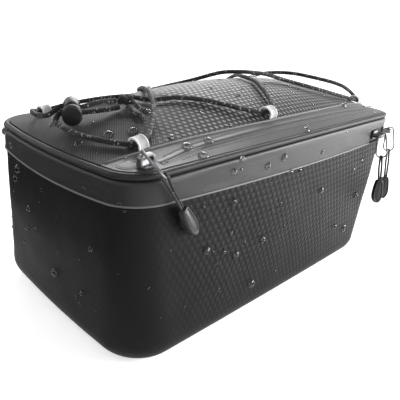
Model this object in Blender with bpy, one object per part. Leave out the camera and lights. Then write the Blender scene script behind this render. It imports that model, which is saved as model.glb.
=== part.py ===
"""Bicycle rack bag: a padded tub with a domed zip lid, a laced elastic cord and zip pullers.

Metres, +Z up. The origin is the centre of the flat base, +X runs along the bag to its
sloping end, and the long side with the pocket zip faces -Y.
"""
from math import atan2, cos, pi, radians, sin, sqrt

import bmesh
import bpy
from mathutils import Matrix, Vector

# Clearance between neighbouring pieces
GAP = 0.0003

# Plan and height of the bag
TOP_LENGTH = 0.360
TOP_WIDTH = 0.189
TOP_CORNER = 0.022
TOP_END_BOW = 0.0081
TOP_SIDE_BOW = 0.0048
BASE_LENGTH = 0.331
BASE_WIDTH = 0.197
BASE_CORNER = 0.034
BASE_END_BOW = 0.0041
BASE_SIDE_BOW = 0.0010
BASE_SHIFT = -0.013
BASE_ROUND = 0.0195
RIM_TILT = 0.0029
RIM_DROOP = 0.0028
HEM_HEIGHT = 0.1189
BAND_HEIGHT = 0.0233
HEM_RISE = 0.0028
HEM_DROOP = 0.0038

# Walls
FLOOR = 0.004
NECK_WALL = 0.0025
BAND_WALL = 0.0020
BAND_STAND = 0.0010
FLANGE_WIDTH = 0.0090
FLANGE_THICK = 0.0020
LID_WALL = 0.0040
STRIP_WALL = 0.0032

# Main zip, and the notch in the band that shows its sliders
ZIP_ABOVE_HEM = 0.0080
TAPE_WIDTH = 0.0060
TAPE_THICK = 0.0008
COIL_WIDTH = 0.0032
COIL_RISE = 0.0007
NOTCH_START = 0.6806
NOTCH_RISE = 0.0138
NOTCH_PAST_CORNER = 0.012

# Lid dome and rim roll; the falls are the powers of the dome's profiles
PIPING = 0.0044
LID_RISE = 0.0290
CROWN_ALONG = 0.0778
END_ROLL = 0.0040
ROLL_POWER = 10
DENTS = (
    {"along": 0.1833, "across": 0.0000, "depth": 0.0022, "radius": 0.0180},
    {"along": -0.5111, "across": -0.0899, "depth": 0.0020, "radius": 0.0150},
)
LEFT_FALL = 2.3
RIGHT_FALL = 2.1
SIDE_FALL = 1.55
SEAM_SHARE = 0.794
SEAM_CURVE = 0.110

# Webbing loops: the side of the bag and the place along it, as a share of the half length
LOOP_WIDTH = 0.008
LOOP_SPAN = 0.0125
LOOP_INSIDE = 0.0054
LOOP_THICK = 0.0012
LOOP_STAND = 0.0005
FAR_LOOP_SHARE = 0.860
LOOPS = (
    {"name": "loop_near_1", "side": -1, "along": -0.779},
    {"name": "loop_near_2", "side": -1, "along": -0.086},
    {"name": "loop_near_3", "side": -1, "along": 0.878},
    {"name": "loop_far_1", "side": 1, "along": -0.780},
    {"name": "loop_far_2", "side": 1, "along": -0.167},
    {"name": "loop_far_3", "side": 1, "along": 0.530},
)

# Spring cord lock: where the cords cross it, as shares of the lid's half length and half
# width and a lift in cord diameters, its turn about +Z and the lean of its far end
LOCK_ALONG = -0.8361
LOCK_ACROSS = 0.0899
LOCK_LIFT = 2.050
LOCK_TURN = radians(-30)
LOCK_TILT = radians(14)
BARREL_WIDTH = 0.0130
BARREL_DEPTH = 0.0160
BARREL_FRONT = 0.0046
BARREL_BACK = 0.0078
BORE_WIDTH = 0.0076
BORE_DEPTH = 0.0126
SLOT_WIDTH = 0.0056
SLOT_DEPTH = 0.0104
SLOT_CORNER = 0.0018
BUTTON_WIDTH = 0.0145
BUTTON_DEPTH = 0.0165
BUTTON_THICK = 0.0032
BUTTON_TRAVEL = 0.0032

# Elastic cord: the route's points, as shares of the lid's half length and half width, and
# the cord's lift off the lid in cord diameters
CORD = 0.0040
ROUTE_STEPS = 6
CORD_POINTS = 80
BEND_WEIGHT = 0.022
STRAND_HEIGHT = 0.0022
STRAND_REACH = 0.0080
KNOT_TO_LOCK = (
    (-0.6556, 0.0042, 0.875),
    (-0.7278, 0.0053, 1.750),
)
LACING = (
    (-0.9111, 0.1905, 2.200),
    (-0.9194, 0.3069, 1.875),
    (-0.9044, 0.4656, 1.550),
    (-0.8750, 0.5926, 1.200),
    (-0.8333, 0.6878, 0.500),
    (-0.7800, 0.7228, 0.000),
    (-0.7028, 0.6349, 0.250),
    (-0.6444, 0.4233, 0.375),
    (-0.5750, 0.1481, 0.250),
    (-0.5056, -0.0847, 0.000),
    (-0.3556, -0.3175, 0.000),
    (-0.2056, -0.5926, 0.000),
    (-0.0861, -0.6878, 0.000),
    (-0.0111, -0.6243, 0.000),
    (0.1000, -0.3175, 0.100),
    (0.1833, 0.0000, 0.150),
    (0.3333, 0.4233, 0.000),
    (0.4500, 0.6772, 0.000),
    (0.5300, 0.7365, 0.000),
    (0.5889, 0.6772, 0.125),
    (0.6278, 0.4233, 1.750),
    (0.6778, -0.0423, 1.950),
    (0.7889, -0.3810, 2.500),
    (0.8889, -0.4656, 1.875),
    (0.9361, -0.5238, 0.625),
    (0.9250, -0.5767, 0.125),
    (0.8778, -0.5820, 0.000),
    (0.7778, -0.5608, 0.000),
    (0.5556, -0.4127, 0.250),
    (0.3889, -0.2011, 0.250),
    (0.1833, 0.0000, 1.300),
    (0.0278, 0.4233, 0.000),
    (-0.0833, 0.6984, 0.000),
    (-0.1672, 0.7513, 0.000),
    (-0.2444, 0.6772, 0.000),
    (-0.3556, 0.3704, 0.000),
    (-0.4611, 0.0952, 0.500),
    (-0.5139, -0.0952, 1.250),
    (-0.5917, -0.3175, 0.500),
    (-0.7056, -0.5291, 0.000),
    (-0.7778, -0.6032, 0.000),
    (-0.8111, -0.5693, 0.000),
    (-0.8472, -0.4762, 0.075),
    (-0.8750, -0.3651, 0.200),
    (-0.8967, -0.2434, 0.375),
    (-0.9067, -0.1058, 0.625),
    (-0.9111, 0.0212, 0.900),
    (-0.9033, 0.1111, 1.200),
)
LOCK_TO_KNOT = (
    (-0.7278, -0.0212, 0.375),
    (-0.6589, -0.0593, 0.000),
)

# Knot and its two loose ends, in the same shares and lift
KNOT_AT = (-0.6233, -0.0423, 0.800)
KNOT_LENGTH = 0.0125
KNOT_WIDTH = 0.0130
KNOT_HEIGHT = 0.0100
TAILS = (
    {"name": "cord_tail_a", "route": ((-0.6389, -0.1185, 0.200), (-0.6478, -0.2116, 0.000),
                                      (-0.6511, -0.2963, 0.125))},
    {"name": "cord_tail_b", "route": ((-0.6089, -0.1185, 0.550), (-0.6167, -0.2063, 0.250),
                                      (-0.6217, -0.2804, 0.300))},
)

# Zip sliders: a plate on the zip and a bridge that holds the ring
SLIDER_LENGTH = 0.0120
SLIDER_WIDTH = 0.0084
SLIDER_THICK = 0.0024
SLIDER_STAND = 0.0005
BRIDGE_THICK = 0.0016
BRIDGE_WIDTH = 0.0036
POCKET_SLIDER_ALONG = -0.8556
POCKET_SLIDER_SHARE = -0.930
BRIDGE_STANDS = {"pocket_slider": 0.0052, "main_slider_a": 0.0066, "main_slider_b": 0.0066}
MAIN_SLIDER_ALONG = 0.7444
CORNER_SLIDER_ANGLE = radians(32)

# Pullers: pear-shaped wire ring, doubled thin cord and moulded tab. A tab's top is placed by
# its share of the half length, its clearance from the wall and its drop below the hem
WIRE = 0.0016
RING_LENGTH = 0.0268
RING_TOP_RADIUS = 0.0040
RING_END_RADIUS = 0.0054
RING_SEAT = 0.0037
PULL_CORD = 0.0014
TAB_LENGTH = 0.0240
TAB_WIDTH = 0.0100
TAB_THICK = 0.0055
TAB_RIM = 0.0016
TAB_DISH = 0.0006
TAB_SHAPE = (
    {"down": 0.00, "wide": 0.42},
    {"down": 0.05, "wide": 0.62},
    {"down": 0.25, "wide": 0.82},
    {"down": 0.60, "wide": 1.00},
    {"down": 0.82, "wide": 0.88},
    {"down": 0.95, "wide": 0.58},
    {"down": 1.00, "wide": 0.28},
)
PULLERS = (
    {"names": ("pocket_ring", "pocket_cord", "pocket_tab"), "slider": "pocket_slider",
     "hang": (-0.17, -0.92, -0.31), "side": (0.78, 0.25, -0.58),
     "along": -0.7639, "clear": 0.0008, "below_hem": 0.0009, "tab_way": (0.538, -0.020, -0.843)},
    {"names": ("main_ring_a", "main_cord_a", "main_tab_a"), "slider": "main_slider_a",
     "hang": (0.0, -0.20, -0.98), "side": (0.725, -0.689, 0.0),
     "along": 0.7306, "clear": 0.0106, "below_hem": 0.0334, "tab_way": (0.0, -0.06, -1.0)},
    {"names": ("main_ring_b", "main_cord_b", "main_tab_b"), "slider": "main_slider_b",
     "hang": (0.06, -0.14, -0.99), "side": (0.725, -0.689, 0.0),
     "along": 0.9389, "clear": 0.0019, "below_hem": 0.0399, "tab_way": (0.0, -0.06, -1.0)},
)

# Mesh fineness
CORNER_STEPS = 5
SIDE_STEPS = 10
END_STEPS = 5
ROUND_STEPS = 4
WALL_STEPS = 3
DOME_COLUMNS = 30
DOME_ROWS = 10


def mix(low, high, share):
    return low + (high - low) * share


def material(name, colour, roughness, metallic=0.0):
    """A Principled material of one finish."""
    made = bpy.data.materials.new(name)
    made.use_nodes = True
    shader = made.node_tree.nodes["Principled BSDF"]
    shader.inputs["Base Color"].default_value = (*colour, 1.0)
    shader.inputs["Roughness"].default_value = roughness
    shader.inputs["Metallic"].default_value = metallic
    return made


def object_from(bm, name, finish):
    """A named object from a bmesh, with its faces turned outwards."""
    bmesh.ops.recalc_face_normals(bm, faces=bm.faces)
    mesh = bpy.data.meshes.new(name)
    bm.to_mesh(mesh)
    bm.free()
    mesh.materials.append(finish)
    mesh.shade_smooth()
    mesh.set_sharp_from_angle(angle=radians(40))
    made = bpy.data.objects.new(name, mesh)
    bpy.context.scene.collection.objects.link(made)
    return made


def outline(half_length, half_width, corner, end_bow, side_bow, shift=0.0):
    """Points round a rectangle with round corners and bowed sides, from the +X side's end."""
    flat_x = half_length - end_bow
    flat_y = half_width - side_bow
    corners = ((1, 1, 0), (-1, 1, 90), (-1, -1, 180), (1, -1, 270))
    points = []
    for index, (side_x, side_y, start) in enumerate(corners):
        for step in range(CORNER_STEPS + 1):
            angle = radians(start + 90 * step / CORNER_STEPS)
            points.append((side_x * (flat_x - corner) + corner * cos(angle),
                           side_y * (flat_y - corner) + corner * sin(angle)))
        next_x, next_y, next_start = corners[(index + 1) % 4]
        first = points[-1]
        last = (next_x * (flat_x - corner) + corner * cos(radians(next_start)),
                next_y * (flat_y - corner) + corner * sin(radians(next_start)))
        steps = SIDE_STEPS if index % 2 == 0 else END_STEPS
        for step in range(1, steps):
            points.append((mix(first[0], last[0], step / steps),
                           mix(first[1], last[1], step / steps)))
    return [(shift + x * (1 + end_bow / flat_x * (1 - (y / flat_y) ** 2)),
             y * (1 + side_bow / flat_y * (1 - (x / flat_x) ** 2))) for x, y in points]


def rim_height(x):
    """The top edge of the band, which tilts and droops along the bag."""
    share = x / (TOP_LENGTH / 2)
    return HEM_HEIGHT + BAND_HEIGHT + RIM_TILT * share - RIM_DROOP * share ** 2


def hem_height(x, y):
    """The band's lower edge, which hangs lower at the middle of each end."""
    along = x / (TOP_LENGTH / 2)
    across = y / (TOP_WIDTH / 2)
    return HEM_HEIGHT + HEM_RISE * along ** 2 - HEM_DROOP * (1 - across ** 2)


def zip_height(x, y):
    return hem_height(x, y) + ZIP_ABOVE_HEM


def top_outline(inset):
    """The band's plan, moved inwards."""
    return outline(TOP_LENGTH / 2 - inset, TOP_WIDTH / 2 - inset, max(TOP_CORNER - inset, 0.002),
                   TOP_END_BOW, TOP_SIDE_BOW)


def body_outline(share, inset):
    """The tub's plan from the base at share 0 to the hem at share 1, moved inwards."""
    return outline(mix(BASE_LENGTH, TOP_LENGTH, share) / 2 - inset,
                   mix(BASE_WIDTH, TOP_WIDTH, share) / 2 - inset,
                   max(mix(BASE_CORNER, TOP_CORNER, share) - inset, 0.002),
                   mix(BASE_END_BOW, TOP_END_BOW, share),
                   mix(BASE_SIDE_BOW, TOP_SIDE_BOW, share),
                   mix(BASE_SHIFT, 0.0, share))


def ring(plan, height):
    """A closed row of points over a plan; height is a number or a function of x and y."""
    return [(x, y, height(x, y) if callable(height) else height) for x, y in plan]


def loft(name, rings, finish, closed=False):
    """A solid through rings of equally many points, capped at both ends or closed on itself."""
    bm = bmesh.new()
    rows = [[bm.verts.new(point) for point in points] for points in rings]
    count = len(rows[0])
    pairs = list(zip(rows, rows[1:]))
    if closed:
        pairs.append((rows[-1], rows[0]))
    for low, high in pairs:
        for index in range(count):
            after = (index + 1) % count
            bm.faces.new((low[index], low[after], high[after], high[index]))
    if not closed:
        bm.faces.new(list(reversed(rows[0])))
        bm.faces.new(rows[-1])
    return object_from(bm, name, finish)


def boolean(target, tool, operation):
    """Cuts or joins a tool into a target for good, and removes the tool."""
    change = target.modifiers.new("change", "BOOLEAN")
    change.operation = operation
    change.solver = "EXACT"
    change.object = tool
    depsgraph = bpy.context.evaluated_depsgraph_get()
    mesh = bpy.data.meshes.new_from_object(target.evaluated_get(depsgraph))
    target.modifiers.remove(change)
    old = target.data
    target.data = mesh
    mesh.name = target.name
    bpy.data.meshes.remove(old)
    bpy.data.objects.remove(tool)
    mesh.set_sharp_from_angle(angle=radians(40))


def body_shell(finish):
    """The open tub: rounded base edge, tapering walls, and a neck that stands in the band."""
    neck_inset = BAND_WALL + GAP
    inner_inset = neck_inset + NECK_WALL
    inner_round = max(BASE_ROUND - inner_inset + BAND_STAND, 0.004)
    rings = []
    for step in range(ROUND_STEPS + 1):
        angle = radians(90 * step / ROUND_STEPS)
        rings.append(ring(body_outline(0, BAND_STAND + BASE_ROUND * (1 - sin(angle))),
                          BASE_ROUND * (1 - cos(angle))))
    for step in range(1, WALL_STEPS + 1):
        share = step / WALL_STEPS
        rings.append(ring(body_outline(share, BAND_STAND),
                          lambda x, y, s=share: mix(BASE_ROUND, hem_height(x, y) - GAP, s)))
    neck = lambda x, y: hem_height(x, y) - GAP
    top = lambda x, y: zip_height(x, y) - TAPE_WIDTH / 2 - GAP
    rings.append(ring(top_outline(neck_inset), neck))
    rings.append(ring(top_outline(neck_inset), top))
    rings.append(ring(top_outline(inner_inset), top))
    for step in range(WALL_STEPS, 0, -1):
        share = step / WALL_STEPS
        rings.append(ring(body_outline(share, inner_inset),
                          lambda x, y, s=share: mix(BASE_ROUND, neck(x, y), s)))
    for step in range(ROUND_STEPS + 1):
        angle = radians(90 * step / ROUND_STEPS)
        rings.append(ring(body_outline(0, inner_inset + inner_round * (1 - cos(angle))),
                          mix(BASE_ROUND, FLOOR, sin(angle))))
    return loft("body_shell", rings, finish)


def lid_band(finish):
    """The lid's side: an outer skirt with a flange under the lid, notched at the sliders."""
    top = lambda x, y: rim_height(x) - GAP
    under = lambda x, y: rim_height(x) - GAP - FLANGE_THICK
    rings = [
        ring(top_outline(0), top),
        ring(top_outline(0), hem_height),
        ring(top_outline(BAND_WALL), hem_height),
        ring(top_outline(BAND_WALL), under),
        ring(top_outline(FLANGE_WIDTH), under),
        ring(top_outline(FLANGE_WIDTH), top),
    ]
    band = loft("lid_band", rings, finish, closed=True)
    boolean(band, notch_cutter(), "DIFFERENCE")
    return band


def notch_cutter():
    """The space that the band leaves open round the near right-hand corner."""
    low = HEM_HEIGHT - HEM_DROOP - 0.004
    corner_x = TOP_LENGTH / 2
    corner_y = -TOP_WIDTH / 2
    start_x = NOTCH_START * corner_x
    inside = BAND_WALL + GAP
    near_y = corner_y + TOP_CORNER + NOTCH_PAST_CORNER
    plan = [(x, y) for x, y in top_outline(inside) if x > start_x and y < near_y]
    plan.sort(key=lambda point: atan2(point[1] - near_y, point[0] - start_x))
    start_y = plan[0][1]
    reach = 0.02
    shape = [(start_x, start_y), *plan, (plan[-1][0], near_y),
             (corner_x + reach, near_y), (corner_x + reach, corner_y - reach),
             (start_x, corner_y - reach)]
    high = lambda x, y: hem_height(min(max(x, start_x), corner_x),
                                   min(max(y, corner_y), near_y)) + NOTCH_RISE
    return loft("notch_cutter", [ring(shape, low), ring(shape, high)], None)


def zip_tape(finish):
    """The closed zip behind the band: a flat tape with the coil standing on it."""
    back = BAND_WALL + GAP + COIL_RISE + TAPE_THICK
    face = BAND_WALL + GAP + COIL_RISE
    crest = BAND_WALL + GAP
    profile = (
        (back, -TAPE_WIDTH / 2), (face, -TAPE_WIDTH / 2), (face, -COIL_WIDTH / 2),
        (crest, -COIL_WIDTH / 4), (crest, COIL_WIDTH / 4), (face, COIL_WIDTH / 2),
        (face, TAPE_WIDTH / 2), (back, TAPE_WIDTH / 2),
    )
    rings = [ring(top_outline(inset), lambda x, y, r=rise: zip_height(x, y) + r)
             for inset, rise in profile]
    return loft("zip_tape", rings, finish, closed=True)


def rim_piping(finish):
    """The roll round the lid's edge."""
    rings = []
    for step in range(8):
        angle = 2 * pi * step / 8
        rings.append(ring(top_outline(PIPING / 2 * (1 + cos(angle))),
                          lambda x, y, a=angle: rim_height(x) + PIPING / 2 * (1 + sin(a))))
    return loft("rim_piping", rings, finish, closed=True)


def lid_half_length():
    return TOP_LENGTH / 2 - PIPING - GAP


def lid_half_width():
    return TOP_WIDTH / 2 - PIPING - GAP


def lid_height(x, y):
    """The lid's upper surface: a dome on the rim, dented where cords cross."""
    crown_x = CROWN_ALONG * TOP_LENGTH / 2
    end_x = lid_half_length() - TOP_END_BOW * (y / lid_half_width()) ** 2
    side_y = lid_half_width() - TOP_SIDE_BOW * (x / lid_half_length()) ** 2
    if x < crown_x:
        along = 1 - min((crown_x - x) / (crown_x + end_x), 1) ** LEFT_FALL
    else:
        along = 1 - min((x - crown_x) / (end_x - crown_x), 1) ** RIGHT_FALL
    across = 1 - min(abs(y) / side_y, 1) ** SIDE_FALL
    roll = 0.0
    if x > crown_x:
        share = (x - crown_x) / (end_x - crown_x)
        roll = END_ROLL * share ** 2 * (1 - min(share, 1) ** ROLL_POWER)
        roll *= 1 - min(abs(y) / side_y, 1) ** 4
    dent = 0.0
    for row in DENTS:
        away_x = x - row["along"] * TOP_LENGTH / 2
        away_y = y - row["across"] * TOP_WIDTH / 2
        distance = sqrt(away_x ** 2 + away_y ** 2) / row["radius"]
        dent += row["depth"] * max(1 - distance ** 2 / 2, 0) ** 2
    return rim_height(x) + PIPING + roll + LID_RISE * along * across - dent


def lid_frame(x, y):
    """A frame on the lid: its Z is the surface's normal, its X runs along the bag."""
    step = 0.0005
    along = Vector((2 * step, 0, lid_height(x + step, y) - lid_height(x - step, y))).normalized()
    across = Vector((0, 2 * step, lid_height(x, y + step) - lid_height(x, y - step)))
    normal = along.cross(across).normalized()
    across = normal.cross(along)
    frame = Matrix((along, across, normal)).transposed().to_4x4()
    frame.translation = (x, y, lid_height(x, y))
    return frame


def seam_share(along):
    """How far out the top panel's seam lies, from the middle of the bag to its ends."""
    return SEAM_SHARE - SEAM_CURVE * along ** 2


def lid_point(along, across):
    """A point of the lid's plan, from shares of its half length and half width."""
    flat_x = lid_half_length() - TOP_END_BOW
    flat_y = lid_half_width() - TOP_SIDE_BOW
    corner = TOP_CORNER - PIPING - GAP
    y = across * flat_y
    past = abs(y) - (flat_y - corner)
    reach = flat_x
    if past > 0:
        reach = flat_x - corner + sqrt(max(corner ** 2 - past ** 2, 0))
    x = along * reach
    return (x * (1 + TOP_END_BOW / flat_x * (1 - across ** 2)),
            y * (1 + TOP_SIDE_BOW / flat_y * (1 - (x / flat_x) ** 2)))


def lid_shell(name, low_edge, high_edge, shares, wall, finish):
    """A piece of the domed lid between two edges, as an upper and a lower skin."""
    bm = bmesh.new()
    skins = []
    for drop in (0.0, wall):
        rows = []
        for share in shares:
            row = []
            for column in range(DOME_COLUMNS + 1):
                along = sin(radians(mix(-90, 90, column / DOME_COLUMNS)))
                along = mix(along, mix(-1, 1, column / DOME_COLUMNS), 0.5)
                x, y = lid_point(along, mix(low_edge(along), high_edge(along), share))
                row.append(bm.verts.new((x, y, lid_height(x, y) - drop)))
            rows.append(row)
        skins.append(rows)
    upper, lower = skins
    last = len(shares) - 1
    for row in range(last):
        for column in range(DOME_COLUMNS):
            for skin in skins:
                bm.faces.new((skin[row][column], skin[row][column + 1],
                              skin[row + 1][column + 1], skin[row + 1][column]))
        for column in (0, DOME_COLUMNS):
            bm.faces.new((upper[row][column], upper[row + 1][column],
                          lower[row + 1][column], lower[row][column]))
    for column in range(DOME_COLUMNS):
        for row in (0, last):
            bm.faces.new((upper[row][column], upper[row][column + 1],
                          lower[row][column + 1], lower[row][column]))
    return object_from(bm, name, finish)


def corner_shares(edge, inner):
    """Shares that put rows on the corner's arc, from the lid's edge in to an inner line."""
    flat_y = lid_half_width() - TOP_SIDE_BOW
    corner = TOP_CORNER - PIPING - GAP
    shares = []
    for degrees in (90, 65, 38, 0):
        across = 1 - corner / flat_y * (1 - sin(radians(degrees)))
        shares.append((edge - across) / (edge - inner))
    return shares


def lid_top(finish):
    """The top panel, from the pocket strip's seam to the far edge."""
    half_gap = GAP * 0.6 / (lid_half_width() - TOP_SIDE_BOW)
    near = lambda along: -seam_share(along) + half_gap
    far = lambda along: 1.0
    inner = 1 - (TOP_CORNER - PIPING - GAP) / (lid_half_width() - TOP_SIDE_BOW)
    start = -seam_share(1.0)
    corner_start = (inner - start) / (1 - start)
    shares = [corner_start * row / DOME_ROWS for row in range(DOME_ROWS)]
    shares += [1 - share * (1 - corner_start) for share in reversed(corner_shares(1.0, inner))]
    return lid_shell("lid_top", near, far, shares, LID_WALL, finish)


def pocket_strip(finish):
    """The near strip of the lid, which carries the pocket's zip."""
    half_gap = GAP * 0.6 / (lid_half_width() - TOP_SIDE_BOW)
    edge = lambda along: -1.0
    seam = lambda along: -seam_share(along) - half_gap
    shares = corner_shares(1.0, seam_share(1.0)) + [1.0]
    return lid_shell("pocket_strip", edge, seam, shares, STRIP_WALL, finish)


def lid_side(x, side, share):
    """The lid's plan position across, at a place along it and a share of its half width."""
    flat_x = lid_half_length() - TOP_END_BOW
    flat_y = lid_half_width() - TOP_SIDE_BOW
    y = side * share * flat_y
    return y * (1 + TOP_SIDE_BOW / flat_y * (1 - (x / flat_x) ** 2))


def webbing_loop(row, finish):
    """A folded strap that arches over the cord, standing on the lid."""
    x = row["along"] * TOP_LENGTH / 2
    flat_x = lid_half_length() - TOP_END_BOW
    share = FAR_LOOP_SHARE if row["side"] > 0 else seam_share(x / flat_x)
    outer_y = lid_side(x, row["side"], share)
    frame = lid_frame(x, outer_y - row["side"] * (LOOP_SPAN / 2 + GAP))
    steps = 8
    bm = bmesh.new()
    rows = []
    for step in range(steps + 1):
        angle = pi * step / steps
        rise = sin(angle) ** 0.7
        outer = (LOOP_SPAN / 2 * cos(angle), LOOP_STAND + (LOOP_INSIDE + LOOP_THICK) * rise)
        inner = ((LOOP_SPAN / 2 - LOOP_THICK) * cos(angle), LOOP_STAND + LOOP_INSIDE * rise)
        corners = ((-1, outer), (1, outer), (1, inner), (-1, inner))
        rows.append([bm.verts.new(frame @ Vector((half * LOOP_WIDTH / 2, across, height)))
                     for half, (across, height) in corners])
    for low, high in zip(rows, rows[1:]):
        for index in range(4):
            after = (index + 1) % 4
            bm.faces.new((low[index], low[after], high[after], high[index]))
    bm.faces.new(list(reversed(rows[0])))
    bm.faces.new(rows[-1])
    return object_from(bm, row["name"], finish)


def smooth_path(points, steps, closed=False):
    """Points on a smooth curve through the given ones."""
    count = len(points)
    pick = (lambda index: points[index % count]) if closed else (
        lambda index: points[min(max(index, 0), count - 1)])
    path = []
    for index in range(count if closed else count - 1):
        before, start, end, after = (pick(index + offset) for offset in (-1, 0, 1, 2))
        for step in range(steps):
            t = step / steps
            path.append(0.5 * (2 * start + (end - before) * t
                               + (2 * before - 5 * start + 4 * end - after) * t ** 2
                               + (3 * start - before - 3 * end + after) * t ** 3))
    if not closed:
        path.append(points[-1])
    return path


def tube(name, path, diameter, finish, closed=False, resolution=2):
    """A round tube along a path, as a curve with a bevel and filled ends."""
    curve = bpy.data.curves.new(name, "CURVE")
    curve.dimensions = "3D"
    curve.bevel_depth = diameter / 2
    curve.bevel_resolution = resolution
    curve.use_fill_caps = not closed
    spline = curve.splines.new("POLY")
    spline.points.add(len(path) - 1)
    for point, place in zip(spline.points, path):
        point.co = (*place, 1.0)
    spline.use_cyclic_u = closed
    curve.materials.append(finish)
    made = bpy.data.objects.new(name, curve)
    bpy.context.scene.collection.objects.link(made)
    return made


def on_plan(place):
    """A place over the lid in metres, from its shares of the lid and its lift in diameters."""
    along, across, lift = place
    return (along * TOP_LENGTH / 2, across * TOP_WIDTH / 2, lift * CORD)


def over_lid(place, diameter):
    """Where a cord's middle lies, given its plan point and its height over the lid."""
    x, y, lift = place
    lean = lid_frame(x, y).to_3x3() @ Vector((0, 0, 1))
    return Vector((x, y, lid_height(x, y) + (diameter / 2 + 2 * GAP) / lean.z + lift))


def cord_path(route, steps):
    """A smooth path over the lid through a route's points."""
    places = smooth_path([Vector(place) for place in route], steps)
    return [over_lid(place, CORD) for place in places]


def thinned(path, count):
    """A path with fewer points, which stay closer together where it bends."""
    measures = [0.0]
    for index in range(1, len(path)):
        run = path[index] - path[index - 1]
        bend = 0.0
        if index < len(path) - 1:
            bend = run.angle(path[index + 1] - path[index])
        measures.append(measures[-1] + run.length + BEND_WEIGHT * bend)
    kept = []
    index = 0
    for number in range(count):
        target = measures[-1] * number / (count - 1)
        while index < len(path) - 2 and measures[index + 1] < target:
            index += 1
        share = (target - measures[index]) / (measures[index + 1] - measures[index])
        kept.append(path[index].lerp(path[index + 1], share))
    return kept


def knot(finish):
    """The knot as a lumpy ball, ridged where the cord wraps round."""
    centre = over_lid(on_plan(KNOT_AT), CORD)
    size = Vector((KNOT_LENGTH, KNOT_WIDTH, KNOT_HEIGHT))
    bm = bmesh.new()
    bmesh.ops.create_uvsphere(bm, u_segments=14, v_segments=9, radius=0.5)
    for vert in bm.verts:
        turn = atan2(vert.co.y, vert.co.x)
        ridge = 0.94 + 0.06 * cos(3 * turn + 6 * vert.co.z)
        vert.co = centre + vert.co * size * ridge
    return object_from(bm, "cord_knot", finish)


def prism(name, shape, axis_places, frame, finish=None):
    """A straight bar along a frame's Y; each place gives its Y and the size of its section."""
    rings = [[frame @ Vector((x * size, place, z * size)) for x, z in shape]
             for place, size in axis_places]
    return loft(name, rings, finish)


def oval(width, depth, steps=16):
    return [(width / 2 * cos(2 * pi * step / steps), depth / 2 * sin(2 * pi * step / steps))
            for step in range(steps)]


def slot(name, low_y, high_y, depth, reach, frame):
    """A cutter along a frame's X, a round-cornered slot between two places on the frame's Y."""
    centre = (high_y + low_y) / 2
    half_y = (high_y - low_y) / 2 - SLOT_CORNER
    half_z = depth / 2 - SLOT_CORNER
    shape = []
    for side_y, side_z, start in ((1, 1, 0), (-1, 1, 90), (-1, -1, 180), (1, -1, 270)):
        for step in range(4):
            angle = radians(start + 30 * step)
            shape.append((centre + side_y * half_y + SLOT_CORNER * cos(angle),
                          side_z * half_z + SLOT_CORNER * sin(angle)))
    rings = [[frame @ Vector((x, across, up)) for across, up in shape]
             for x in (-reach, reach)]
    return loft(name, rings, None)


def lock_frame():
    """The cord lock's frame: X along the cords, Y from the button towards the barrel's end."""
    place = over_lid(on_plan((LOCK_ALONG, LOCK_ACROSS, LOCK_LIFT)), CORD)
    return (Matrix.Translation(place) @ Matrix.Rotation(LOCK_TURN, 4, "Z")
            @ Matrix.Rotation(LOCK_TILT, 4, "X"))


def lock_pass(height, start):
    """The cord's places through the lock, from one side of it to the other."""
    places = []
    for along in (start, start / 2, 0.0, -start / 2, -start):
        point = lock_frame() @ Vector((along, 0, height))
        lying = over_lid((point.x, point.y, 0.0), CORD)
        places.append((point.x, point.y, point.z - lying.z))
    return tuple(places)


def lock_barrel(finish):
    """The lock's barrel, with a cross slot for two cords and a bore for the stem."""
    frame = lock_frame()
    shape = oval(BARREL_WIDTH, BARREL_DEPTH)
    barrel = prism("lock_barrel", shape, (
        (-BARREL_FRONT, 0.90), (-BARREL_FRONT + 0.0010, 1.0),
        (BARREL_BACK - 0.0022, 1.0), (BARREL_BACK - 0.0007, 0.86), (BARREL_BACK, 0.62),
    ), frame, finish)
    bore_end = BARREL_BACK - 0.0010
    boolean(barrel, prism("bore", oval(BORE_WIDTH, BORE_DEPTH),
                          ((-BARREL_FRONT - 0.002, 1.0), (bore_end, 1.0)), frame), "DIFFERENCE")
    boolean(barrel, slot("cross_slot", -SLOT_WIDTH / 2, SLOT_WIDTH / 2, SLOT_DEPTH,
                         BARREL_WIDTH, frame), "DIFFERENCE")
    return barrel


def lock_button(finish):
    """The lock's button, its stem slotted so that it can slide with the cords in place."""
    frame = lock_frame()
    stem_end = BARREL_BACK - 0.0010 - BUTTON_TRAVEL - GAP
    inner = -BARREL_FRONT - BUTTON_TRAVEL - GAP
    outer = inner - BUTTON_THICK
    button = prism("lock_button", oval(BUTTON_WIDTH, BUTTON_DEPTH), (
        (outer, 0.84), (outer + 0.0009, 1.0), (inner - 0.0009, 1.0), (inner, 0.92),
    ), frame, finish)
    stem = prism("stem", oval(BORE_WIDTH - 2.4 * GAP, BORE_DEPTH - 2.4 * GAP),
                 ((inner - BUTTON_THICK / 2, 1.0), (stem_end, 1.0)), frame)
    boolean(button, stem, "UNION")
    rear = -SLOT_WIDTH / 2 - BUTTON_TRAVEL
    front = SLOT_WIDTH / 2
    boolean(button, slot("stem_slot", rear, front, SLOT_DEPTH - GAP, BARREL_WIDTH, frame),
            "DIFFERENCE")
    centre = frame @ Vector((0, inner, 0))
    button.data.transform(Matrix.Translation(-centre))
    button.location = centre
    return button


def near_side_frame(x, inset):
    """A frame on the main zip's near side, at a place along the bag."""
    flat_x = TOP_LENGTH / 2 - inset - TOP_END_BOW
    flat_y = TOP_WIDTH / 2 - inset - TOP_SIDE_BOW
    along = Vector((1, 2 * TOP_SIDE_BOW * x / flat_x ** 2, 0)).normalized()
    y = -flat_y - TOP_SIDE_BOW * (1 - (x / flat_x) ** 2)
    return upright_frame(Vector((x, y, zip_height(x, y))), along)


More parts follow.
